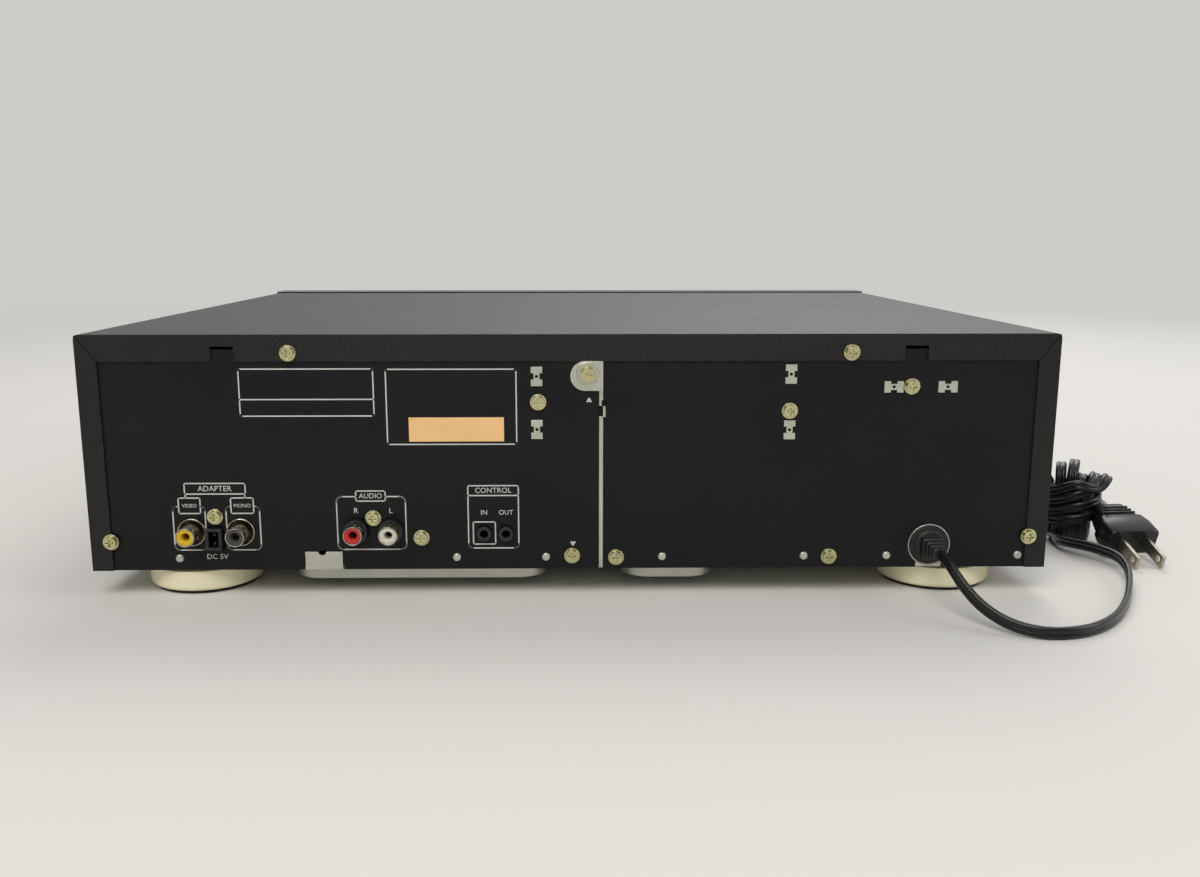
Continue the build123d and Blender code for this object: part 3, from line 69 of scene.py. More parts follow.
camera.rotation_quaternion = forward.to_track_quat("-Z", "Y")
bpy.context.scene.camera = camera
print("camera set")


# shared mesh helpers

def finishMesh(name, bm, body, slotName, smooth=True, angle=40):
    bmesh.ops.remove_doubles(bm, verts=bm.verts, dist=1e-6)
    bmesh.ops.recalc_face_normals(bm, faces=bm.faces)
    mesh = bpy.data.meshes.new(name)
    bm.to_mesh(mesh)
    bm.free()
    piece = bpy.data.objects.new(name, mesh)
    bpy.context.scene.collection.objects.link(piece)
    if smooth:
        mesh.shade_smooth()
        mesh.set_sharp_from_angle(angle=math.radians(angle))
    piece.data.materials.append(materials[slotName])
    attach(piece, body)
    return piece


def addBox(bm, x, y, z, bevel=0.0, segments=2):
    # a block between two corners in mm, its edges rounded
    centre = Vector(((x[0] + x[1]) / 2, (y[0] + y[1]) / 2, (z[0] + z[1]) / 2)) * mm
    size = Vector((x[1] - x[0], y[1] - y[0], z[1] - z[0])) * mm
    made = bmesh.ops.create_cube(bm, size=1.0)["verts"]
    bmesh.ops.scale(bm, vec=size, verts=made)
    if bevel:
        edges = list({edge for vert in made for edge in vert.link_edges})
        made = list({v for f in bmesh.ops.bevel(
            bm, geom=edges, offset=bevel * mm, segments=segments, profile=0.5,
            affect="EDGES", material=-1,
        )["faces"] for v in f.verts} | {v for v in made if v.is_valid})
    bmesh.ops.translate(bm, vec=centre, verts=made)


def addLathe(bm, profile, centre, steps=48):
    # profile points are (radius, distance out along Y), in mm
    spun = bmesh.new()
    points = [spun.verts.new((radius * mm, 0, along * mm)) for radius, along in profile]
    edges = [spun.edges.new(pair) for pair in zip(points, points[1:])]
    bmesh.ops.spin(
        spun, geom=points + edges, cent=(0, 0, 0), axis=(0, 0, 1), angle=2 * math.pi,
        steps=steps, use_merge=True,
    )
    bmesh.ops.remove_doubles(spun, verts=spun.verts, dist=1e-7)
    spun.transform(Matrix.Rotation(-math.pi / 2, 4, "X"))
    spun.transform(Matrix.Translation(Vector(centre) * mm))
    mesh = bpy.data.meshes.new("lathed")
    spun.to_mesh(mesh)
    spun.free()
    bm.from_mesh(mesh)
    bpy.data.meshes.remove(mesh)


# shader groups

def startGroup(name, inputs, outputs):
    group = bpy.data.node_groups.new(name, "ShaderNodeTree")
    for socketName, kind, value in inputs:
        made = group.interface.new_socket(name=socketName, in_out="INPUT", socket_type=kind)
        made.default_value = value
    for socketName, kind in outputs:
        group.interface.new_socket(name=socketName, in_out="OUTPUT", socket_type=kind)
    return group, group.nodes.new("NodeGroupInput"), group.nodes.new("NodeGroupOutput")


def put(tree, kind, links=(), **values):
    # adds a node, sets its plain values and feeds its inputs
    node = tree.nodes.new(kind)
    for key, value in values.items():
        setattr(node, key, value)
    for socket, source in links:
        if hasattr(source, "is_output"):
            tree.links.new(source, node.inputs[socket])
        else:
            node.inputs[socket].default_value = source
    return node


def mixColours(tree, factor, first, second):
    return put(tree, "ShaderNodeMix", [(0, factor), (6, first), (7, second)], data_type="RGBA").outputs[2]


def maths(tree, operation, first, second, clamp=False):
    return put(tree, "ShaderNodeMath", [(0, first), (1, second)], operation=operation, use_clamp=clamp).outputs[0]


def spread(tree, value, low, high, outLow, outHigh):
    links = [(0, value), (1, low), (2, high), (3, outLow), (4, outHigh)]
    return put(tree, "ShaderNodeMapRange", links).outputs[0]


def noise(tree, vector, scale, detail, roughness=0.5):
    return put(tree, "ShaderNodeTexNoise", [
        ("Vector", vector), ("Scale", scale), ("Detail", detail), ("Roughness", roughness),
    ]).outputs[0]


def vectorMaths(tree, operation, *links):
    return put(tree, "ShaderNodeVectorMath", links, operation=operation)


def makeSurfaceGroup():
    # fine grain, cloudy tint, uneven gloss, rounded-looking edges with a little wear, and settled dust
    group, given, out = startGroup(
        "surfaceDetail",
        [
            ("Colour", "NodeSocketColor", (0.5, 0.5, 0.5, 1)),
            ("Second Colour", "NodeSocketColor", (0.4, 0.4, 0.4, 1)),
            ("Worn Colour", "NodeSocketColor", (0.6, 0.6, 0.6, 1)),
            ("Grain Scale", "NodeSocketFloat", 1500.0), ("Grain Depth", "NodeSocketFloat", 0.2),
            ("Cloud Scale", "NodeSocketFloat", 12.0), ("Roughness", "NodeSocketFloat", 0.5),
            ("Gloss Spread", "NodeSocketFloat", 0.1), ("Wear", "NodeSocketFloat", 0.2),
            ("Edge Radius", "NodeSocketFloat", 0.0003), ("Dust", "NodeSocketFloat", 0.0),
            ("Streak", "NodeSocketVector", (1.0, 1.0, 1.0)), ("Fleck", "NodeSocketFloat", 0.18),
        ],
        [
            ("Colour", "NodeSocketColor"), ("Roughness", "NodeSocketFloat"), ("Normal", "NodeSocketVector"),
            ("Dust", "NodeSocketFloat"),
        ],
    )
    given = given.outputs
    place = put(group, "ShaderNodeTexCoord").outputs["Object"]
    stretched = vectorMaths(group, "MULTIPLY", (0, place), (1, given["Streak"])).outputs[0]
    grain = noise(group, stretched, given["Grain Scale"], 3.0, 0.6)
    cloud = noise(group, place, given["Cloud Scale"], 5.0, 0.62)
    patches = spread(group, cloud, 0.35, 0.68, 0.0, 1.0)
    tinted = mixColours(group, patches, given["Colour"], given["Second Colour"])
    fleck = maths(group, "MULTIPLY", spread(group, grain, 0.3, 0.72, -1.0, 1.0), given["Fleck"])
    flecked = vectorMaths(group, "SCALE", (0, tinted), ("Scale", maths(group, "ADD", fleck, 1.0))).outputs[0]
    rounded = put(group, "ShaderNodeBevel", [("Radius", given["Edge Radius"])], samples=4).outputs[0]
    flat = put(group, "ShaderNodeNewGeometry").outputs["Normal"]
    facing = vectorMaths(group, "DOT_PRODUCT", (0, rounded), (1, flat)).outputs["Value"]
    edge = spread(group, facing, 0.995, 0.8, 0.0, 1.0)
    scuffs = noise(group, place, 260.0, 4.0)
    rubbed = maths(group, "MULTIPLY", edge, spread(group, scuffs, 0.44, 0.6, 0.0, 1.0))
    worn = maths(group, "MULTIPLY", rubbed, given["Wear"], clamp=True)
    coloured = mixColours(group, worn, flecked, given["Worn Colour"])
    upward = put(group, "ShaderNodeSeparateXYZ", [(0, flat)]).outputs[2]
    settled = spread(group, upward, 0.55, 0.98, 0.0, 1.0)
    lint = spread(group, noise(group, place, 420.0, 2.0), 0.62, 0.8, 0.0, 0.7)
    film = maths(group, "MULTIPLY", maths(group, "ADD", lint, spread(group, cloud, 0.3, 0.75, 0.1, 0.6)), settled)
    dusty = maths(group, "MULTIPLY", film, given["Dust"], clamp=True)
    final = mixColours(group, dusty, coloured, (0.42, 0.40, 0.36, 1))
    uneven = maths(group, "MULTIPLY", maths(group, "SUBTRACT", cloud, 0.5), given["Gloss Spread"])
    gloss = maths(group, "ADD", given["Roughness"], uneven)
    rough = maths(group, "ADD", gloss, maths(group, "MULTIPLY", dusty, 0.25), clamp=True)
    bump = put(group, "ShaderNodeBump", [
        ("Strength", given["Grain Depth"]), ("Distance", 0.0002), ("Height", grain), ("Normal", rounded),
    ])
    group.links.new(final, out.inputs["Colour"])
    group.links.new(rough, out.inputs["Roughness"])
    group.links.new(bump.outputs[0], out.inputs["Normal"])
    group.links.new(dusty, out.inputs["Dust"])
    return group


surfaceDetail = makeSurfaceGroup()


# finishes

# colour, second colour and worn colour are linear; scale is grains per metre
plainLook = {"gloss": 0.1, "dust": 0.0, "metal": 0.0, "specular": 0.5, "fleck": 0.18, "streak": (1, 1, 1)}
finishes = {
    "case_paint": dict(
        colour=(0.013, 0.013, 0.013), second=(0.017, 0.017, 0.016), worn=(0.11, 0.11, 0.10),
        grain=1500, depth=0.8, cloud=9, rough=0.47, gloss=0.12, wear=0.35, edge=0.5, dust=0.05,
        specular=0.27, fleck=0.45,
    ),
    "rear_paint": dict(
        colour=(0.0065, 0.0065, 0.0075), second=(0.0095, 0.0095, 0.0095), worn=(0.2, 0.2, 0.19),
        grain=2100, depth=0.35, cloud=11, rough=0.40, gloss=0.14, wear=0.3, edge=0.25, dust=0.03, specular=0.22,
    ),
    "zinc": dict(
        colour=(0.62, 0.62, 0.53), second=(0.52, 0.54, 0.46), worn=(0.75, 0.75, 0.68),
        grain=900, depth=0.08, cloud=60, rough=0.34, gloss=0.25, wear=0.3, edge=0.2, dust=0.05,
        metal=0.7, fleck=0.06,
    ),
    "yellow_zinc": dict(
        colour=(0.66, 0.60, 0.33), second=(0.44, 0.46, 0.26), worn=(0.86, 0.80, 0.55),
        grain=1400, depth=0.06, cloud=380, rough=0.22, gloss=0.2, wear=0.5, edge=0.35,
        metal=1.0, fleck=0.08,
    ),
    "foot_cream": dict(
        colour=(0.93, 0.87, 0.60), second=(0.88, 0.82, 0.56), worn=(0.40, 0.36, 0.26),
        grain=1700, depth=0.08, cloud=24, rough=0.34, gloss=0.14, wear=0.35, edge=0.6, dust=0.05,
        metal=0.08, fleck=0.06,
    ),
    "pad_felt": dict(
        colour=(0.016, 0.015, 0.014), second=(0.030, 0.028, 0.026), worn=(0.06, 0.06, 0.05),
        grain=1500, depth=0.9, cloud=90, rough=0.95, gloss=0.05, wear=0.1, edge=0.3, dust=0.1,
    ),
    "front_black": dict(
        colour=(0.014, 0.014, 0.015), second=(0.018, 0.018, 0.018), worn=(0.09, 0.09, 0.09),
        grain=2600, depth=0.25, cloud=14, rough=0.34, wear=0.3, edge=0.4, dust=0.06,
    ),
    "button_black": dict(
        colour=(0.022, 0.022, 0.023), second=(0.028, 0.028, 0.028), worn=(0.11, 0.11, 0.11),
        grain=2600, depth=0.2, cloud=90, rough=0.36, gloss=0.12, wear=0.4, edge=0.35, dust=0.05,
    ),
    "tray_grey": dict(
        colour=(0.045, 0.045, 0.048), second=(0.052, 0.052, 0.054), worn=(0.14, 0.14, 0.14),
        grain=2200, depth=0.3, cloud=20, rough=0.5, wear=0.3, edge=0.4, dust=0.06,
    ),
    "mechanism_grey": dict(
        colour=(0.11, 0.11, 0.115), second=(0.095, 0.095, 0.10), worn=(0.2, 0.2, 0.2),
        grain=1900, depth=0.3, cloud=25, rough=0.55, wear=0.2, edge=0.4, dust=0.1,
    ),
    "soft_rubber": dict(
        colour=(0.007, 0.007, 0.007), second=(0.010, 0.010, 0.010), worn=(0.07, 0.07, 0.07),
        grain=2400, depth=0.25, cloud=120, rough=0.46, gloss=0.12, wear=0.25, edge=0.4, dust=0.03,
    ),
    "motor_steel": dict(
        colour=(0.50, 0.51, 0.52), second=(0.42, 0.43, 0.44), worn=(0.7, 0.7, 0.7),
        grain=800, depth=0.15, cloud=50, rough=0.34, gloss=0.2, wear=0.3, edge=0.4, dust=0.06,
        metal=1.0, streak=(1, 1, 8),
    ),
    "rail_steel": dict(
        colour=(0.62, 0.63, 0.64), second=(0.56, 0.57, 0.58), worn=(0.8, 0.8, 0.8),
        grain=1200, depth=0.08, cloud=70, rough=0.18, wear=0.2, edge=0.3, dust=0.03,
        metal=1.0, streak=(1, 0.08, 1),
    ),
    "carriage_alloy": dict(
        colour=(0.44, 0.45, 0.46), second=(0.38, 0.39, 0.40), worn=(0.6, 0.6, 0.6),
        grain=1600, depth=0.4, cloud=90, rough=0.5, wear=0.4, edge=0.4, dust=0.05, metal=0.9,
    ),
    "lens_holder": dict(
        colour=(0.012, 0.012, 0.014), second=(0.02, 0.02, 0.024), worn=(0.1, 0.1, 0.1),
        grain=2400, depth=0.15, cloud=200, rough=0.28, wear=0.2, edge=0.3,
    ),
    "gear_white": dict(
        colour=(0.72, 0.71, 0.66), second=(0.68, 0.66, 0.60), worn=(0.8, 0.8, 0.78),
        grain=2100, depth=0.12, cloud=90, rough=0.42, wear=0.1, edge=0.3, dust=0.03,
    ),
    "core_steel": dict(
        colour=(0.18, 0.17, 0.16), second=(0.25, 0.22, 0.19), worn=(0.4, 0.4, 0.38),
        grain=1500, depth=0.6, cloud=70, rough=0.55, gloss=0.15, wear=0.5, edge=0.4, dust=0.1,
        metal=0.8, streak=(0.1, 1, 0.1),
    ),
    "coil_tape": dict(
        colour=(0.45, 0.33, 0.06), second=(0.38, 0.28, 0.05), worn=(0.6, 0.5, 0.2),
        grain=900, depth=0.25, cloud=80, rough=0.35, gloss=0.15, wear=0.1, edge=0.5, dust=0.1,
    ),
    "capacitor_sleeve": dict(
        colour=(0.02, 0.03, 0.07), second=(0.025, 0.035, 0.08), worn=(0.2, 0.2, 0.22),
        grain=1800, depth=0.08, cloud=80, rough=0.26, wear=0.2, edge=0.5, dust=0.08,
    ),
    "heat_sink_alloy": dict(
        colour=(0.30, 0.31, 0.32), second=(0.25, 0.26, 0.27), worn=(0.6, 0.6, 0.6),
        grain=1500, depth=0.2, cloud=60, rough=0.4, gloss=0.15, wear=0.3, edge=0.3, dust=0.06, metal=0.9,
    ),
    "jack_yellow": dict(
        colour=(0.78, 0.52, 0.02), second=(0.70, 0.45, 0.02), worn=(0.85, 0.65, 0.15),
        grain=1600, depth=0.06, cloud=300, rough=0.30, wear=0.2, edge=0.25,
    ),
    "jack_grey": dict(
        colour=(0.05, 0.052, 0.05), second=(0.07, 0.07, 0.066), worn=(0.2, 0.2, 0.2),
        grain=1600, depth=0.06, cloud=300, rough=0.32, wear=0.2, edge=0.25,
    ),
    "jack_black": dict(
        colour=(0.010, 0.010, 0.011), second=(0.015, 0.015, 0.015), worn=(0.08, 0.08, 0.08),
        grain=2200, depth=0.15, cloud=150, rough=0.30, wear=0.3, edge=0.35, dust=0.02,
    ),
    "jack_red": dict(
        colour=(0.58, 0.035, 0.025), second=(0.48, 0.03, 0.02), worn=(0.7, 0.2, 0.15),
        grain=1600, depth=0.06, cloud=300, rough=0.30, wear=0.2, edge=0.25,
    ),
    "jack_white": dict(
        colour=(0.74, 0.71, 0.60), second=(0.68, 0.64, 0.52), worn=(0.6, 0.55, 0.4),
        grain=1600, depth=0.06, cloud=300, rough=0.30, wear=0.2, edge=0.25,
    ),
    "cord_black": dict(
        colour=(0.0065, 0.0065, 0.007), second=(0.009, 0.009, 0.009), worn=(0.04, 0.04, 0.04),
        grain=2600, depth=0.10, cloud=60, rough=0.27, gloss=0.12, wear=0.1, edge=0.15, dust=0.03, specular=0.42,
    ),
    "blade_metal": dict(
        colour=(0.52, 0.48, 0.38), second=(0.40, 0.37, 0.30), worn=(0.7, 0.68, 0.6),
        grain=1300, depth=0.1, cloud=220, rough=0.32, gloss=0.25, wear=0.4, edge=0.25,
        metal=1.0, fleck=0.08, streak=(1, 0.2, 1),
    ),
    "plated_barrel": dict(
        colour=(0.66, 0.63, 0.53), second=(0.55, 0.52, 0.42), worn=(0.8, 0.78, 0.7),
        grain=1300, depth=0.05, cloud=260, rough=0.24, gloss=0.2, wear=0.3, edge=0.25,
        metal=1.0, fleck=0.06,
    ),
    "print_white": dict(
        colour=(0.62, 0.62, 0.57), second=(0.55, 0.55, 0.51), worn=(0.3, 0.3, 0.3),
        grain=2600, depth=0.1, cloud=180, rough=0.55, wear=0.0, edge=0.05, fleck=0.08,
    ),
    "sticker_peach": dict(
        colour=(0.92, 0.58, 0.25), second=(0.88, 0.54, 0.23), worn=(0.6, 0.42, 0.26),
        grain=1200, depth=0.06, cloud=90, rough=0.5, wear=0.3, edge=0.3, fleck=0.04,
    ),
    # near black painted shade, standing in for the shade inside slits, pierced holes, the seam's slot and the socket
    # bores
    "painted_shade_black": dict(
        colour=(0.004, 0.004, 0.004), second=(0.006, 0.006, 0.006), worn=(0.01, 0.01, 0.01),
        grain=1500, depth=0.1, cloud=80, rough=0.8, gloss=0.05, wear=0.0, edge=0.05, specular=0.2,
    ),
    "phenolic": dict(
        colour=(0.16, 0.075, 0.035), second=(0.12, 0.055, 0.025), worn=(0.3, 0.2, 0.1),
        grain=1400, depth=0.2, cloud=200, rough=0.42, wear=0.1, edge=0.2,
    ),
}


def makeFinish(name, given):
    look = {**plainLook, **given}
    material = bpy.data.materials.new(name)
    material.use_nodes = True
    tree = material.node_tree
    shader = tree.nodes["Principled BSDF"]
    detail = tree.nodes.new("ShaderNodeGroup")
    detail.node_tree = surfaceDetail
    values = {
        "Colour": (*look["colour"], 1), "Second Colour": (*look["second"], 1), "Worn Colour": (*look["worn"], 1),
        "Grain Scale": look["grain"], "Grain Depth": look["depth"], "Cloud Scale": look["cloud"],
        "Roughness": look["rough"], "Gloss Spread": look["gloss"], "Wear": look["wear"],
        "Edge Radius": look["edge"] * mm, "Dust": look["dust"], "Streak": look["streak"], "Fleck": look["fleck"],
    }
    for socket, value in values.items():
        detail.inputs[socket].default_value = value
    tree.links.new(detail.outputs["Colour"], shader.inputs["Base Color"])
    tree.links.new(detail.outputs["Roughness"], shader.inputs["Roughness"])
    tree.links.new(detail.outputs["Normal"], shader.inputs["Normal"])
    shader.inputs["Metallic"].default_value = look["metal"]
    shader.inputs["Specular IOR Level"].default_value = look["specular"]
    material.diffuse_color = (*look["colour"], 1)
    return material


materials = {name: makeFinish(name, look) for name, look in finishes.items()}


def makeCircuitBoard():
    # green solder mask with paler copper tracks
    material = materials["board"] = makeFinish("board", dict(
        colour=(0.02, 0.085, 0.03), second=(0.03, 0.11, 0.04), worn=(0.3, 0.26, 0.12), grain=1600, depth=0.2,
        cloud=60, rough=0.36, gloss=0.1, wear=0.3, edge=0.2, dust=0.1,
    ))
    tree = material.node_tree
    shader = tree.nodes["Principled BSDF"]
    detail = [node for node in tree.nodes if node.type == "GROUP"][0]
    place = put(tree, "ShaderNodeTexCoord").outputs["Object"]
    bricks = put(tree, "ShaderNodeTexBrick", [
        ("Vector", place), ("Scale", 90.0), ("Mortar Size", 0.012),
        ("Color1", (0, 0, 0, 1)), ("Color2", (0, 0, 0, 1)), ("Mortar", (1, 1, 1, 1)),
    ])
    tracks = maths(tree, "MULTIPLY", bricks.outputs[0], 0.6)
    tracked = mixColours(tree, tracks, detail.outputs["Colour"], (0.10, 0.22, 0.07, 1))
    tree.links.new(tracked, shader.inputs["Base Color"])


def makeWindow():
    # smoked acrylic over a dark display
    material = makeFinish("window_smoke", dict(
        colour=(0.05, 0.052, 0.055), second=(0.045, 0.046, 0.05), worn=(0.2, 0.2, 0.2), grain=1500, depth=0.0,
        cloud=30, rough=0.06, gloss=0.04, wear=0.1, edge=0.3, dust=0.02,
    ))
    shader = material.node_tree.nodes["Principled BSDF"]
    shader.inputs["Transmission Weight"].default_value = 0.8
    shader.inputs["IOR"].default_value = 1.49
    materials["window_smoke"] = material


def makeTube():
    # display glass with a fine grid and unlit pale segments
    material = makeFinish("tube_glass", dict(
        colour=(0.03, 0.045, 0.045), second=(0.035, 0.05, 0.05), worn=(0.1, 0.1, 0.1), grain=1500, depth=0.02,
        cloud=60, rough=0.12, gloss=0.05, wear=0.1, edge=0.3, dust=0.0,
    ))
    tree = material.node_tree
    shader = tree.nodes["Principled BSDF"]
    detail = [node for node in tree.nodes if node.type == "GROUP"][0]
    place = put(tree, "ShaderNodeTexCoord").outputs["Object"]
    cells = put(tree, "ShaderNodeTexVoronoi", [("Vector", place), ("Scale", 160.0)], distance="CHEBYCHEV").outputs[0]
    marks = spread(tree, cells, 0.28, 0.24, 0.0, 0.35)
    marked = mixColours(tree, marks, detail.outputs["Colour"], (0.16, 0.30, 0.27, 1))
    tree.links.new(marked, shader.inputs["Base Color"])
    materials["tube_glass"] = material


makeCircuitBoard()
makeWindow()
makeTube()

nodeFinishes = {
    "case_paint": ["bonnet"], "rear_paint": ["rear_panel_signal", "rear_panel_power"],
    "zinc": ["bottom_chassis", "centre_divider", "board_hook_clips", "rear_dowels", "clamp_bridge", "clamp_arm"],
    "yellow_zinc": ["case_screws", "foot_screws"], "foot_cream": ["feet"], "pad_felt": ["foot_pads"],
    "front_black": ["front_panel", "tray_front"], "window_smoke": ["display_window"], "tube_glass": ["display_tube"],
    "board": ["front_board", "signal_board", "main_board", "power_board"],
    "button_black": [
        "power_button", "open_close_button", "play_button", "pause_button", "stop_button", "skip_back_button",
        "skip_forward_button",
    ],
    "tray_grey": ["disc_tray"], "mechanism_grey": ["mechanism_base", "tray_guides", "turntable", "clamp_puck"],
    "soft_rubber": ["base_dampers", "drive_belt", "strain_relief"],
    "motor_steel": ["spindle_motor", "feed_motor", "loading_motor"], "rail_steel": ["carriage_rails"],
    "carriage_alloy": ["pickup_carriage"], "lens_holder": ["objective_lens"],
    "gear_white": ["feed_pinion", "loading_gear", "motor_pulley"], "core_steel": ["transformer_core"],
    "coil_tape": ["transformer_coil"], "capacitor_sleeve": ["capacitors"], "heat_sink_alloy": ["heat_sink"],
    "jack_yellow": ["video_jack"], "jack_grey": ["mono_audio_jack"],
    "jack_black": ["dc_out_socket", "audio_jack_block", "control_jacks"],
    "jack_red": ["audio_jack_right"], "jack_white": ["audio_jack_left"],
    "cord_black": ["cord_lead", "cord_hank", "plug_body"], "blade_metal": ["plug_blades"],
}
for slotName, names in nodeFinishes.items():
    for name in names:
        nodes[name].data.materials.clear()
        nodes[name].data.materials.append(materials[slotName])
print("materials:", len(materials))


# mains lead, hank and plug

cordLook = {
    "width": 5.2, "thickness": 2.8, "smoothness": 9,
    # x, distance out from the rear plane, height, then the way the flat side's width points
    "lead": (
        (-158.3, 15.0, 22.2), (-158.3, 22.5, 22.2), (-158.9, 29.5, 19.8), (-161.5, 36.0, 14.6), (-166.5, 43.8, 8.6),
        (-174.0, 52.0, 4.4), (-184.0, 58.0, 2.8), (-195.5, 59.0, 2.7), (-208.0, 54.5, 2.7), (-221.0, 44.0, 2.7),
        (-233.0, 28.5, 2.8), (-243.5, 11.0, 3.6), (-252.0, -6.0, 5.2), (-258.0, -21.5, 6.4), (-259.5, -35.5, 7.0),
        (-255.0, -48.0, 7.0), (-248.5, -59.0, 6.4), (-246.5, -69.0, 5.0),
    ),
    "hankMiddle": (-260.0, -85.0), "hankTurn": -24.8,
    # each turn: middle x, half depth, top x, top height, bottom x, bottom height, top y
    "turns": (
        (9.2, 6.6, 15.0, 33.5, 9.5, 3.6, -4.0),
        (6.4, 8.4, 6.9, 40.3, 7.6, 1.7, 0.6),
        (7.6, 5.6, 8.0, 30.0, 6.5, 3.6, 0.0),
        (2.6, 5.6, 2.8, 28.5, 2.0, 3.2, 0.0),
        (2.2, 9.8, 0.6, 42.0, 2.8, 1.7, 0.0),
        (-2.0, 8.4, -3.4, 34.8, -1.4, 2.4, -0.6),
        (-2.6, 5.6, -2.8, 29.0, -3.5, 3.6, 0.0),
        (-5.6, 9.4, -9.4, 36.0, -5.4, 1.7, 0.4),
        (-8.0, 6.8, -15.2, 35.2, -8.2, 2.8, 0.2),
    ),
    "leanFrom": 23.0, "sinkTo": 12.0,
    # how far each turn's first points still lie toward the turn before it
    "carry": (0.625, 0.5, 0.4, 0.25, 0.1, 0.0), "sides": (0.2, 0.5, 0.8),
    # over the top of the hank, from the last turn to the windings
    "arch": (((-9.4, 9.8, 30.4), (0.7, 0, 0.7)), ((-5.2, 12.2, 31.8), (0.2, 0, 1))), "archDrop": 5,
    "wrap": {
        "middleX": 0.7, "halfWide": 13.4, "halfDeep": 12.8, "top": 32.2, "pitch": 6.0, "centre": 20.2, "slope": 0.21,
        "pinch": 0.016, "from": 95, "step": 30, "count": 42, "overFrom": 3.1, "overRise": 8.0, "overSwell": 3.0,
    },
    # the last points, out of the hank and into the plug
    "tail": ((-15.0, -5.0, 20.6), (-14.2, 3.5, 20.4), (-12.4, 13.0, 17.8)),
}


def hankTurns():
    # (x, y, z) from the foot of the hank and the width's way, each turn a long loop with round ends
    shape = []
    lean, sinkTo = cordLook["leanFrom"], cordLook["sinkTo"]
    before = None
    for index, (middleX, half, topX, topZ, bottomX, bottomZ, topY) in enumerate(cordLook["turns"]):
        outside = half / math.cos(math.pi / 8)
        low, high = bottomZ + half, topZ - half

        def bend(angles, level):
            turned = [math.radians(angle) for angle in angles]
            return [(outside * math.cos(angle), level + outside * math.sin(angle)) for angle in turned]

        def straight(y, shares):
            return [(y, low + (high - low) * share) for share in shares]

        loop = bend((-112.5, -157.5), low) + straight(-half, cordLook["sides"])
        loop += bend((157.5, 112.5, 67.5, 22.5), high)
        loop += straight(half, cordLook["sides"][::-1]) + bend((-22.5, -67.5), low)
        fromX = bottomX if before is None else before
        for step, (y, z) in enumerate(loop):
            rise = max(0.0, (z - lean) / (topZ - lean))
            sink = max(0.0, (sinkTo - z) / (sinkTo - bottomZ))
            x = middleX + (topX - middleX) * rise ** 1.2 + (bottomX - middleX) * min(sink, 1.0)
            if step < len(cordLook["carry"]):
                x += (fromX - bottomX) * cordLook["carry"][step]
            tilt = (topX - middleX) / (topZ - lean) if z > lean else 0.0
            shape.append(((x, y + topY * rise, z), Vector((1, 0.06 * math.sin(index * 2.3), -tilt))))
        before = bottomX
    first = shape[0][0]
    ease = ((first[0], -first[1], first[2]), Vector((1, 0, 0)))
    arch = [(place, Vector(way)) for place, way in cordLook["arch"]]
    return [ease] + shape[:-cordLook["archDrop"]] + arch


def hankWraps():
    wrap = cordLook["wrap"]
    shape = []
    for step in range(wrap["count"] + 1):
        degrees = wrap["from"] - wrap["step"] * step
        angle = math.radians(degrees)
        turned = (90 - degrees) / 360
        over = min(1.0, max(0.0, (turned - wrap["overFrom"]) / 0.25))
        swell = 1 + 0.02 * math.sin(step * 1.7)
        x = wrap["middleX"] + (wrap["halfWide"] * swell + wrap["overSwell"] * over) * math.cos(angle)
        y = (wrap["halfDeep"] * swell + wrap["overSwell"] * over) * math.sin(angle)
        level = wrap["top"] - wrap["pitch"] * min(turned, 3.0)
        pinched = 1 - wrap["pinch"] * (x - wrap["middleX"])
        z = wrap["centre"] + (level - wrap["centre"]) * pinched - wrap["slope"] * (x - wrap["middleX"])
        z += max(0.0, turned - wrap["overFrom"]) * wrap["overRise"]
        shape.append(((x, y, z), Vector((0.15 * math.cos(angle * 2), 0.1, 1))))
    return shape


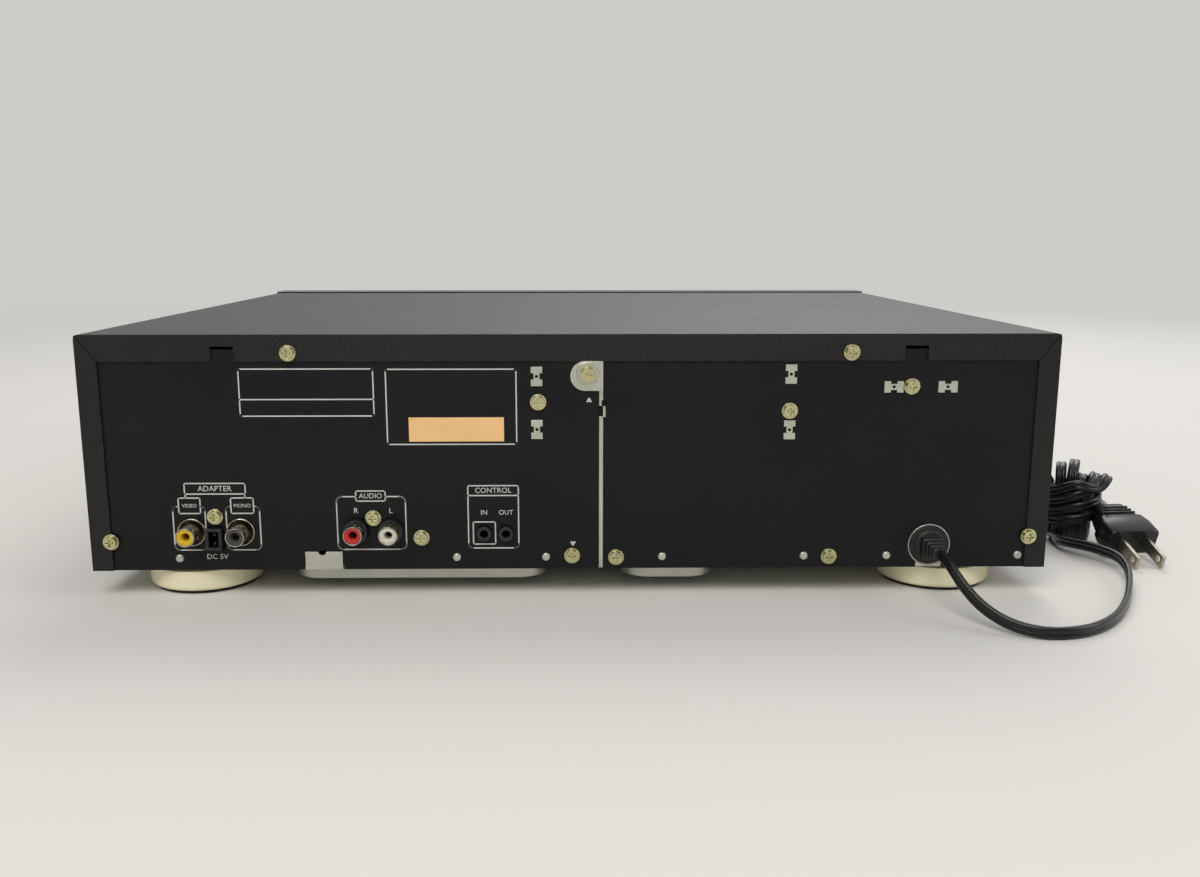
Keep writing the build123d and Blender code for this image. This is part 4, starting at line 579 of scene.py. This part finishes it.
def makeCord():
    middleX, middleOut = cordLook["hankMiddle"]
    route = [((x, rearY + out, z), Vector((0, 0, 1))) for x, out, z in cordLook["lead"]]
    turned = math.radians(cordLook["hankTurn"])
    for (x, y, z), way in hankTurns() + hankWraps():
        across = x * math.cos(turned) - y * math.sin(turned)
        deep = x * math.sin(turned) + y * math.cos(turned)
        way = Matrix.Rotation(turned, 3, "Z") @ way
        route.append(((middleX + across, rearY + middleOut + deep, z), way))
    for x, y, z in cordLook["tail"]:
        route.append(((middleX + x, rearY + middleOut + y, z), Vector((1, 0.07, 0.2))))
    line = bpy.data.curves.new("cordRoute", "CURVE")
    line.dimensions = "3D"
    line.resolution_u = cordLook["smoothness"]
    spline = line.splines.new("NURBS")
    spline.points.add(len(route) - 1)
    for point, (place, way) in zip(spline.points, route):
        point.co = (*(Vector(place) * mm), 1)
    spline.order_u = 3
    spline.use_endpoint_u = True
    holder = bpy.data.objects.new("cordRoute", line)
    bpy.context.scene.collection.objects.link(holder)
    bpy.context.view_layer.update()
    drawn = bpy.data.meshes.new_from_object(holder)
    path = [vertex.co.copy() for vertex in drawn.vertices]
    bpy.data.objects.remove(holder)
    bpy.data.meshes.remove(drawn)

    # the section of a flat twin lead: two round cores with a groove between them
    quarter = ((0.0, 0.92), (0.35, 1.10), (0.8, 1.33), (1.2, 1.4), (1.72, 1.30), (2.2, 0.98), (2.52, 0.42))
    section = list(quarter) + [(u, -v) for u, v in reversed(quarter)][:-1]
    section += [(-u, v) for u, v in [(0.0, -0.92)] + [(u, -v) for u, v in quarter][1:]]
    section += [(-u, v) for u, v in reversed(quarter)][:-1]
    spans = len(route) - 2
    knots = [0.0] + [index - 0.5 for index in range(1, len(route) - 1)] + [float(spans)]
    bm = bmesh.new()
    around = len(section)
    bmesh.ops.create_grid(bm, x_segments=around, y_segments=len(path) - 1, size=1.0)
    verts = bm.verts[:]
    side = None
    cursor = 0
    for index, place in enumerate(path):
        ahead = path[min(index + 1, len(path) - 1)] - path[max(index - 1, 0)]
        ahead.normalize()
        along = spans * index / (len(path) - 1)
        while cursor < len(knots) - 2 and knots[cursor + 1] < along:
            cursor += 1
        share = (along - knots[cursor]) / (knots[cursor + 1] - knots[cursor])
        wanted = route[cursor][1].normalized().lerp(route[cursor + 1][1].normalized(), share)
        wanted -= ahead * wanted.dot(ahead)
        if side is not None:
            if wanted.dot(side) < 0:
                wanted = -wanted
            wanted = side * 2 + wanted   # the flat side turns slowly, so it never flips
            wanted -= ahead * wanted.dot(ahead)
        side = wanted.normalized()
        up = ahead.cross(side)
        for turn in range(around + 1):
            u, v = section[turn % around]
            verts[index * (around + 1) + turn].co = place + side * (u * mm) + up * (v * mm)
    bmesh.ops.remove_doubles(bm, verts=bm.verts, dist=1e-6)
    bmesh.ops.holes_fill(bm, edges=[edge for edge in bm.edges if edge.is_boundary], sides=0)
    piece = finishMesh("mains_cord", bm, "cabinet", "cord_black", angle=60)
    total = sum((b - a).length for a, b in zip(path, path[1:]))
    return piece, path, total


cord, cordPath, cordLength = makeCord()
print("cord length", round(cordLength, 3), "m, points", len(cordPath))

plugLook = {
    "tip": (-275.5, rearY - 33.0, 3.4), "heading": -4.3, "tilt": 20.0,
    "blade": 17.0, "length": 27.0,
    # distance from the face, width, height
    "stations": (
        (0.0, 24.2, 13.2), (0.8, 25.0, 14.0), (9.5, 25.0, 14.0), (14.2, 22.4, 13.6), (15.2, 19.6, 12.2),
        (21.0, 17.4, 11.2), (26.2, 15.0, 10.0), (27.0, 14.0, 9.2),
    ),
    "corner": 0.15, "ridges": (16.8, 19.4, 22.0), "ridgeLong": 1.2,
    "ridgeHalf": 8.6, "ridgeShrink": 0.22, "ridgeHigh": 6.5, "ridgeDrop": 0.09,
}


def plugFrame():
    heading, tilt = math.radians(plugLook["heading"]), math.radians(plugLook["tilt"])
    back = Vector((-math.sin(heading) * math.cos(tilt), -math.cos(heading) * math.cos(tilt), math.sin(tilt)))
    side = Vector((math.cos(heading), -math.sin(heading), 0))
    up = side.cross(back) * -1
    start = Vector(plugLook["tip"]) * mm + back * plugLook["blade"] * mm
    return Matrix((
        (side.x, back.x, up.x, start.x),
        (side.y, back.y, up.y, start.y),
        (side.z, back.z, up.z, start.z),
        (0, 0, 0, 1),
    ))


def makePlug():
    bm = bmesh.new()
    grid = bmesh.ops.create_grid(bm, x_segments=1, y_segments=1, size=0.5)["verts"]
    bmesh.ops.rotate(bm, verts=grid, cent=(0, 0, 0), matrix=Matrix.Rotation(math.pi / 2, 3, "X"))
    bmesh.ops.bevel(
        bm, geom=grid, offset=plugLook["corner"], segments=3, profile=0.5, affect="VERTICES", material=-1,
    )
    face = bm.faces[:][0]
    firstStation = plugLook["stations"][0]
    bmesh.ops.scale(bm, vec=(firstStation[1] * mm, 1, firstStation[2] * mm), verts=face.verts[:])
    top = face
    for before, here in zip(plugLook["stations"], plugLook["stations"][1:]):
        made = bmesh.ops.extrude_face_region(bm, geom=[top])["geom"]
        if top.is_valid and before != firstStation:
            bm.faces.remove(top)
        verts = [item for item in made if isinstance(item, bmesh.types.BMVert)]
        top = [item for item in made if isinstance(item, bmesh.types.BMFace)][0]
        bmesh.ops.translate(bm, vec=(0, (here[0] - before[0]) * mm, 0), verts=verts)
        bmesh.ops.scale(bm, vec=(here[1] / before[1], 1, here[2] / before[2]), verts=verts)
    # grip ridges over the rear half
    for distance in plugLook["ridges"]:
        half = plugLook["ridgeHalf"] - (distance - plugLook["ridges"][0]) * plugLook["ridgeShrink"]
        high = plugLook["ridgeHigh"] - (distance - plugLook["ridges"][0]) * plugLook["ridgeDrop"]
        addBox(bm, (-half, half), (distance, distance + plugLook["ridgeLong"]), (-high, high), bevel=0.4)
    addBox(bm, (-3.6, 3.6), (26.4, 30.5), (-2.6, 2.6), bevel=0.9)
    bm.transform(plugFrame())
    return finishMesh("mains_plug", bm, "cabinet", "cord_black", angle=35)


plug = makePlug()
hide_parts("cord_lead", "cord_hank")
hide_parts("plug_body")


glandLook = {
    "place": (-158.3, baseZ + 10.2),
    # (radius, distance out from the panel)
    "bush": (
        (0, -9), (8.3, -9), (8.4, -8.6), (8.4, -1.4), (8.7, -1.2), (8.7, 0.3), (8.55, 0.75), (8.1, 0.95), (6.9, 1.0),
        (6.7, 1.6), (6.3, 2.0), (5.4, 2.2), (0, 2.2),
    ),
    # half width, half height, start and end of each block
    "blocks": ((4.7, 4.4, 1.6, 6.4), (4.1, 3.8, 6.0, 9.6), (3.5, 3.2, 9.2, 12.8), (3.1, 2.6, 12.4, 16.0)),
    "holeEdge": ((8.8, -0.9), (8.8, 0.2), (8.92, 0.3), (9.22, 0.3), (9.35, 0.18), (9.35, -0.9), (8.8, -0.9)),
}


def makeGland():
    # a bush with a rounded lip and a squarish nose, stepped down to the lead, in a bare-edged hole
    x, z = glandLook["place"]
    bm = bmesh.new()
    addLathe(bm, glandLook["bush"], (x, panelY, z))
    for half, tall, start, end in glandLook["blocks"]:
        addBox(bm, (x - half, x + half), (panelY + start, panelY + end), (z - tall, z + tall), bevel=1.1, segments=3)
    bush = finishMesh("gland_bush", bm, "cabinet", "soft_rubber")
    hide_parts("strain_relief")
    bm = bmesh.new()
    addLathe(bm, glandLook["holeEdge"], (x, panelY, z))
    finishMesh("gland_hole_edge", bm, "cabinet", "zinc")
    return bush


gland = makeGland()
print("cord, plug and gland made")


# rear prints

printLook = {"line": 0.55, "thick": 0.06}


def addStroke(bm, x0, z0, x1, z1, width=None, face=panelY):
    width = printLook["line"] if width is None else width
    start, end = Vector((x0, 0, z0)), Vector((x1, 0, z1))
    length = (end - start).length
    made = bmesh.ops.create_cube(bm, size=1.0)["verts"]
    bmesh.ops.scale(bm, vec=((length + width) * mm, printLook["thick"] * mm, width * mm), verts=made)
    angle = math.atan2(z1 - z0, x1 - x0)
    bmesh.ops.rotate(bm, verts=made, cent=(0, 0, 0), matrix=Matrix.Rotation(-angle, 3, "Y"))
    middle = (start + end) / 2
    bmesh.ops.translate(bm, vec=Vector((middle.x, face + printLook["thick"] / 2, baseZ + middle.z)) * mm, verts=made)


def addArc(bm, x, z, radius, start):
    # a quarter turn in five strokes
    points = []
    for step in range(6):
        angle = math.radians(start + 18 * step)
        points.append((x + radius * math.cos(angle), z + radius * math.sin(angle)))
    for first, second in zip(points, points[1:]):
        addStroke(bm, *first, *second)


def addFrame(bm, x, z, radius=0.0, topRadius=None, gap=None):
    # an outline with rounded corners; gap leaves the top open between two places
    low, high = min(x), max(x)
    above = radius if topRadius is None else topRadius
    if gap:
        addStroke(bm, low + above, z[1], gap[0], z[1])
        addStroke(bm, gap[1], z[1], high - above, z[1])
    else:
        addStroke(bm, low + above, z[1], high - above, z[1])
    addStroke(bm, low + radius, z[0], high - radius, z[0])
    addStroke(bm, low, z[0] + radius, low, z[1] - above)
    addStroke(bm, high, z[0] + radius, high, z[1] - above)
    if above:
        addArc(bm, high - above, z[1] - above, above, 0)
        addArc(bm, low + above, z[1] - above, above, 90)
    if radius:
        addArc(bm, low + radius, z[0] + radius, radius, 180)
        addArc(bm, high - radius, z[0] + radius, radius, 270)


def addLabel(bm, words, x, z, size, frontFace=None):
    curve = bpy.data.curves.new("label", "FONT")
    curve.body = words
    curve.size = size * mm
    curve.align_x = "CENTER"
    curve.align_y = "CENTER"
    curve.extrude = printLook["thick"] / 2 * mm
    curve.resolution_u = 3
    holder = bpy.data.objects.new("label", curve)
    bpy.context.scene.collection.objects.link(holder)
    bpy.context.view_layer.update()
    mesh = bpy.data.meshes.new_from_object(holder)
    if frontFace is None:
        # reads from behind: right is -X, up is Z, out is +Y
        turn = Matrix(((-1, 0, 0, 0), (0, 0, 1, 0), (0, 1, 0, 0), (0, 0, 0, 1)))
        place = Vector((x, panelY + printLook["thick"] / 2, baseZ + z))
    else:
        turn = Matrix(((1, 0, 0, 0), (0, 0, -1, 0), (0, 1, 0, 0), (0, 0, 0, 1)))
        place = Vector((x, frontFace - printLook["thick"] / 2, z))
    mesh.transform(Matrix.Translation(place * mm) @ turn)
    bm.from_mesh(mesh)
    bpy.data.objects.remove(holder)
    bpy.data.meshes.remove(mesh)


# heights are above the case's lower edge
rearPrint = {
    # frame: x, height, radius, and where they differ the top's radius and its gap
    "frames": (
        # two empty plates
        ((84.6, 141.8), (68.5, 88.8), 0.6, None, None), ((23.5, 79.2), (56.0, 88.6), 0.6, None, None),
        # adapter, with the names of its two sockets
        ((141.7, 168.0), (34.3, 39.0), 0.0, None, None),
        ((161.6, 171.0), (25.6, 32.5), 0.0, None, None), ((138.5, 148.3), (25.6, 32.5), 0.0, None, None),
        # audio pair and its name
        ((72.4, 102.4), (9.1, 32.9), 2.4, None, (81.1, 93.9)), ((81.1, 93.9), (30.9, 35.4), 0.0, None, None),
        # control pair
        ((23.1, 45.1), (9.5, 37.6), 1.9, 0.0, None), ((33.3, 43.0), (11.3, 21.3), 0.0, None, None),
    ),
    "lines": (
        (84.6, 75.7, 141.8, 75.7), (167.8, 34.3, 167.8, 32.5), (142.0, 34.3, 142.0, 32.5), (23.1, 33.2, 45.1, 33.2),
    ),
    # brackets round the adapter's sockets: x, height, radius below and above
    "brackets": ((159.7, 173.7), (136.0, 150.6)), "bracketHigh": (9.1, 26.8), "bracketRound": (2.2, 1.9),
    # arrowheads beside two screws: x, height, way
    "arrows": ((-7.8, 74.5, 1), (-0.7, 12.1, -1)), "arrowLine": 0.38, "arrowStep": 0.36, "arrowSteps": 5,
    "words": (
        ("VIDEO", 166.3, 29.0, 2.25), ("MONO", 143.4, 29.0, 2.35), ("ADAPTER", 154.9, 36.6, 3.4),
        ("DC 5V", 155.5, 6.0, 3.3), ("AUDIO", 87.5, 33.1, 3.2), ("R", 94.1, 26.5, 3.4), ("L", 78.9, 26.5, 3.4),
        ("CONTROL", 34.1, 35.4, 3.3), ("IN", 38.2, 25.5, 3.0), ("OUT", 28.6, 25.5, 3.0),
    ),
}


def makeRearPrint():
    bm = bmesh.new()
    for x, z, radius, topRadius, gap in rearPrint["frames"]:
        addFrame(bm, x, z, radius, topRadius, gap)
    for line in rearPrint["lines"]:
        addStroke(bm, *line)
    bottom, shoulder = rearPrint["bracketHigh"]
    below, above = rearPrint["bracketRound"]
    for low, high in rearPrint["brackets"]:
        addStroke(bm, low, bottom + below, low, shoulder)
        addStroke(bm, high, bottom + below, high, shoulder)
        addStroke(bm, low + below, bottom, high - below, bottom)
        addArc(bm, low + below, bottom + below, below, 180)
        addArc(bm, high - below, bottom + below, below, 270)
        addArc(bm, low + above, shoulder, above, 90)
        addArc(bm, high - above, shoulder, above, 0)
    for x, z, way in rearPrint["arrows"]:
        for step in range(rearPrint["arrowSteps"]):
            half = 1 - step / rearPrint["arrowSteps"]
            level = z + way * step * rearPrint["arrowStep"]
            addStroke(bm, x - half, level, x + half, level, rearPrint["arrowLine"])
    for words, x, z, size in rearPrint["words"]:
        addLabel(bm, words, x, z, size)
    finishMesh("rear_print", bm, "cabinet", "print_white", smooth=False)


makeRearPrint()


# x, distance out from the panel, height above the case's lower edge, edge radius
rearDetail = {
    "sticker": ((28.9, 69.9), (0.0, 0.14), (57.2, 67.8), 0.05),
    # from the corner inward: x and height
    # the mitre lines, specks and slots place dark strips of painted shade
    "mitre": ((209.4, 103.0), (201.2, 92.3)), "mitreLine": 0.55,
    "specks": (-19.5, -35.0, -51.0, -67.0), "speckHeight": 91.4, "speckLong": 1.6, "speckLine": 0.5,
    "slots": (
        ((101.7, 115.3), (-1.1, -0.96), (2.9, 3.5), 0.0), ((-14.0, -12.0), (0.0, 0.08), (68.2, 72.7), 0.0),
        ((-15.6, -13.2), (0.0, 0.08), (72.8, 75.1), 0.0),
    ),
    "seamTab": ((-14.9, -13.8), (0.0, 0.5), (67.8, 72.6), 0.15),
    "glandEdge": ((-164.0, -152.7), (0.0, 0.22), (0.25, 2.4), 0.1),
    "ring": ((4.5, -0.1), (4.6, 0.18), (4.9, 0.3), (5.2, 0.18), (5.3, -0.1), (4.5, -0.1)),
    "ringPlace": (-7.3, 86.6),
}


def addRearBlock(bm, x, out, z, bevel, segments=2):
    addBox(bm, x, (panelY + out[0], panelY + out[1]), (baseZ + z[0], baseZ + z[1]), bevel, segments)


def makeSticker():
    bm = bmesh.new()
    addRearBlock(bm, *rearDetail["sticker"], segments=1)
    finishMesh("blank_sticker", bm, "cabinet", "sticker_peach")


makeSticker()


def makeRearGapShade():
    # painted shade: dark strips for the slits of the flange's mitred corners, the row of fine pierced specks and the
    # seam's dark slot
    bm = bmesh.new()
    (outerX, outerZ), (innerX, innerZ) = rearDetail["mitre"]
    for sign in (-1, 1):
        addStroke(bm, sign * outerX, outerZ, sign * innerX, innerZ, rearDetail["mitreLine"], rearY)
    level = rearDetail["speckHeight"]
    for x in rearDetail["specks"]:
        addStroke(bm, x, level, x - rearDetail["speckLong"], level, rearDetail["speckLine"])
    for slot in rearDetail["slots"]:
        addRearBlock(bm, *slot)
    finishMesh("rear_gap_shade", bm, "cabinet", "painted_shade_black", smooth=False)


def makeSeamTab():
    # the hooked tab in the seam, the pressed ring on the round-ended tab and the bare edge below the gland
    bm = bmesh.new()
    addRearBlock(bm, *rearDetail["seamTab"])
    x, z = rearDetail["ringPlace"]
    addLathe(bm, rearDetail["ring"], (x, rearY, baseZ + z))
    addRearBlock(bm, *rearDetail["glandEdge"])
    finishMesh("seam_tab", bm, "cabinet", "zinc")


makeRearGapShade()
makeSeamTab()
print("rear prints made")


# rear sockets

socketLook = {"barrel": 4.15, "wall": 0.5, "tip": 185.15, "bore": 1.65, "can": 5.7}


def makePinSocket(name, x, z, insertSlot, replaced, well):
    tip = socketLook["tip"] - panelY
    outer, inner = socketLook["barrel"], socketLook["barrel"] - socketLook["wall"]
    bore, can = socketLook["bore"], socketLook["can"]
    bm = bmesh.new()
    root = -5.0 if well else 3.6
    addLathe(bm, (
        (inner, root), (outer, root), (outer, tip - 0.35), (outer - 0.12, tip - 0.08), (outer - 0.3, tip),
        (inner + 0.1, tip), (inner, tip - 0.12), (inner, root),
    ), (x, panelY, z), steps=56)
    if well:
        # the socket's can seen through the hole in the panel
        addLathe(bm, (
            (can, -5.2), (6.3, -5.2), (6.3, 0.75), (6.1, 1.25), (5.9, 1.35), (can, 1.2), (can, -5.2),
        ), (x, panelY, z), steps=56)
    barrel = finishMesh(name + "_barrel", bm, "cabinet", "plated_barrel")
    bm = bmesh.new()
    addLathe(bm, (
        (inner, -4.0), (inner, tip - 0.55), (inner - 0.2, tip - 0.4), (2.35, tip - 0.4), (2.2, tip - 0.55),
        (bore + 0.2, tip - 1.5), (bore, tip - 1.7), (bore, -4.0), (inner, -4.0),
    ), (x, panelY, z))
    finishMesh(name + "_insert", bm, "cabinet", insertSlot)
    # the bore's floor: near black without a well, painted shade deep in the hole; behind a well it is the phenolic
    # base
    bm = bmesh.new()
    addLathe(bm, ((0, -4.2), (bore + 0.3, -4.2), (bore + 0.3, tip - 6.5), (0, tip - 6.5)), (x, panelY, z), steps=24)
    if well:
        rim = can + 0.05
        addLathe(bm, ((outer, -5.3), (rim, -5.3), (rim, -4.6), (outer, -4.6), (outer, -5.3)), (x, panelY, z))
    finishMesh(name + "_floor", bm, "cabinet", "phenolic" if well else "painted_shade_black")
    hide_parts(replaced)


makePinSocket("video_socket", 165.8, baseZ + 17.3, "jack_yellow", "video_jack", True)
makePinSocket("mono_socket", 144.5, baseZ + 17.3, "jack_grey", "mono_audio_jack", True)
makePinSocket("audio_right_socket", 94.1, baseZ + 17.7, "jack_red", "audio_jack_right", False)
makePinSocket("audio_left_socket", 78.9, baseZ + 17.7, "jack_white", "audio_jack_left", False)
print("sockets made")


# front details

frontLook = {"face": -184.15, "buttonFace": -185.15, "signThick": 0.06}


def makeFrontPrint():
    bm = bmesh.new()
    for words, x, z, size in (
        ("POWER", -172, 54.0, 3.0), ("OPEN/CLOSE", -128, 51.5, 3.0), ("PLAY", 158, 59.5, 3.0),
        ("PAUSE", 112, 59.5, 3.0), ("STOP", 78, 59.5, 3.0), ("SKIP", 116, 38.2, 3.0),
    ):
        addLabel(bm, words, x, z, size, frontLook["face"])
    finishMesh("front_print", bm, "cabinet", "print_white", smooth=False)


def makeSymbols():
    # plain transport signs on the buttons' faces: triangles, bars and a square
    signs = {
        "play_button": [("right", 158, 50, 3.2)], "stop_button": [("square", 78, 50, 2.8)],
        "pause_button": [("bar", 110.9, 50, 2.9), ("bar", 113.1, 50, 2.9)],
        "skip_back_button": [("bar", 92.4, 31, 2.2), ("left", 95, 31, 2.2), ("left", 98.4, 31, 2.2)],
        "skip_forward_button": [("right", 133.4, 31, 2.2), ("right", 136.8, 31, 2.2), ("bar", 139.4, 31, 2.2)],
        "open_close_button": [("up", -128, 43.7, 2.0), ("dash", -128, 41.0, 2.2)],
    }
    for button, marks in signs.items():
        bm = bmesh.new()
        for kind, x, z, half in marks:
            if kind in ("right", "left", "up"):
                made = bmesh.ops.create_circle(bm, cap_ends=True, radius=half * mm, segments=3)["verts"]
                bmesh.ops.rotate(bm, verts=made, cent=(0, 0, 0), matrix=Matrix.Rotation(math.pi / 2, 3, "X"))
                turn = {"right": math.pi / 2, "left": -math.pi / 2, "up": 0}[kind]
                bmesh.ops.rotate(bm, verts=made, cent=(0, 0, 0), matrix=Matrix.Rotation(turn, 3, "Y"))
                bmesh.ops.translate(bm, verts=made, vec=Vector((x, frontLook["buttonFace"], z)) * mm)
                face = made[0].link_faces[0]
                grown = bmesh.ops.extrude_face_region(bm, geom=[face])["geom"]
                grown = [item for item in grown if isinstance(item, bmesh.types.BMVert)]
                bmesh.ops.translate(bm, vec=(0, -frontLook["signThick"] * mm, 0), verts=grown)
            else:
                size = {"square": (half, half), "bar": (0.7, half), "dash": (half, 0.45)}[kind]
                face = frontLook["buttonFace"]
                addBox(
                    bm, (x - size[0], x + size[0]), (face - frontLook["signThick"], face),
                    (z - size[1], z + size[1]),
                )
        finishMesh(button + "_sign", bm, button, "print_white", smooth=False)


makeFrontPrint()
makeSymbols()
print("front details made")


# stage and light

stageLook = {
    "halfWide": 12.0, "colour": (0.70, 0.68, 0.64, 1), "roughness": 0.85, "specular": 0.2,
    "background": (0.60, 0.60, 0.58, 1), "fadeFrom": 0.75, "fadeTo": 2.3,
}


def makeStage():
    # a flat pale floor; far from the object the camera sees it as the background's colour, so no horizon shows
    bm = bmesh.new()
    bmesh.ops.create_grid(bm, x_segments=8, y_segments=8, size=stageLook["halfWide"])
    mesh = bpy.data.meshes.new("floor")
    bm.to_mesh(mesh)
    bm.free()
    floor = bpy.data.objects.new("floor", mesh)
    bpy.context.scene.collection.objects.link(floor)
    material = bpy.data.materials.new("floor_pale")
    material.use_nodes = True
    tree = material.node_tree
    shader = tree.nodes["Principled BSDF"]
    shader.inputs["Base Color"].default_value = stageLook["colour"]
    shader.inputs["Roughness"].default_value = stageLook["roughness"]
    shader.inputs["Specular IOR Level"].default_value = stageLook["specular"]
    place = put(tree, "ShaderNodeTexCoord").outputs["Object"]
    away = put(tree, "ShaderNodeVectorMath", [(0, place)], operation="LENGTH").outputs["Value"]
    faded = put(tree, "ShaderNodeMapRange", [
        (0, away), (1, stageLook["fadeFrom"]), (2, stageLook["fadeTo"]), (3, 0.0), (4, 1.0),
    ], interpolation_type="SMOOTHSTEP").outputs[0]
    rays = tree.nodes.new("ShaderNodeLightPath")
    seen = maths(tree, "MAXIMUM", rays.outputs["Is Camera Ray"], rays.outputs["Is Transmission Ray"])
    glow = put(tree, "ShaderNodeEmission", [(0, stageLook["background"]), (1, 1.0)])
    mix = put(tree, "ShaderNodeMixShader", [
        (0, maths(tree, "MULTIPLY", faded, seen)), (1, shader.outputs[0]), (2, glow.outputs[0]),
    ])
    tree.links.new(mix.outputs[0], tree.nodes["Material Output"].inputs[0])
    mesh.materials.append(material)


worldLook = {
    "mirrored": (0.98, 0.98, 1.0, 1), "lit": (0.95, 0.96, 1.0, 1), "litStrength": 0.42,
    # along Y from the viewer's side to behind the object, then upward: from, to, strength at each
    "behind": (0.35, -0.35, 0.10, 0.62), "overhead": (0.25, 0.85, 0.0, 0.45),
}


def makeWorld():
    world = bpy.data.worlds.new("room")
    bpy.context.scene.world = world
    world.use_nodes = True
    tree = world.node_tree
    tree.nodes.clear()
    output = tree.nodes.new("ShaderNodeOutputWorld")
    rays = tree.nodes.new("ShaderNodeLightPath")
    way = put(tree, "ShaderNodeSeparateXYZ", [(0, put(tree, "ShaderNodeTexCoord").outputs["Generated"])])
    # mirrored light is bright overhead and behind the object, and dim on the viewer's side
    behind = spread(tree, way.outputs[1], *worldLook["behind"])
    overhead = spread(tree, way.outputs[2], *worldLook["overhead"])
    bright = maths(tree, "ADD", behind, overhead)
    mirrored = put(tree, "ShaderNodeBackground", [(0, worldLook["mirrored"]), (1, bright)])
    lit = put(tree, "ShaderNodeBackground", [(0, worldLook["lit"]), (1, worldLook["litStrength"])])
    mix = tree.nodes.new("ShaderNodeMixShader")
    tree.links.new(rays.outputs["Is Glossy Ray"], mix.inputs[0])
    tree.links.new(lit.outputs[0], mix.inputs[1])
    tree.links.new(mirrored.outputs[0], mix.inputs[2])
    background = put(tree, "ShaderNodeBackground", [(0, stageLook["background"]), (1, 1.0)])
    seen = maths(tree, "MAXIMUM", rays.outputs["Is Camera Ray"], rays.outputs["Is Transmission Ray"])
    shown = put(tree, "ShaderNodeMixShader", [(0, seen), (1, mix.outputs[0]), (2, background.outputs[0])])
    tree.links.new(shown.outputs[0], output.inputs[0])


lamps = {
    "key": dict(place=(0.5, 1.6, 1.9), size=1.6, power=31, colour=(1.0, 0.98, 0.95)),
    "overFront": dict(place=(-0.5, -1.5, 1.8), size=1.8, power=26, colour=(1.0, 0.99, 0.97)),
    "side": dict(place=(-1.9, 0.5, 1.0), size=1.2, power=9, colour=(0.96, 0.98, 1.0)),
}


def makeLamps():
    for name, look in lamps.items():
        data = bpy.data.lights.new(name, "AREA")
        data.shape = "DISK"
        data.size = look["size"]
        data.energy = look["power"]
        data.color = look["colour"]
        lamp = bpy.data.objects.new(name, data)
        bpy.context.scene.collection.objects.link(lamp)
        lamp.location = look["place"]
        aim = Vector((0, 0, 0.06)) - Vector(look["place"])
        lamp.rotation_mode = "QUATERNION"
        lamp.rotation_quaternion = aim.to_track_quat("-Z", "Y")


makeStage()
makeWorld()
makeLamps()
bpy.context.scene.view_settings.view_transform = "Standard"
print("stage and light set")
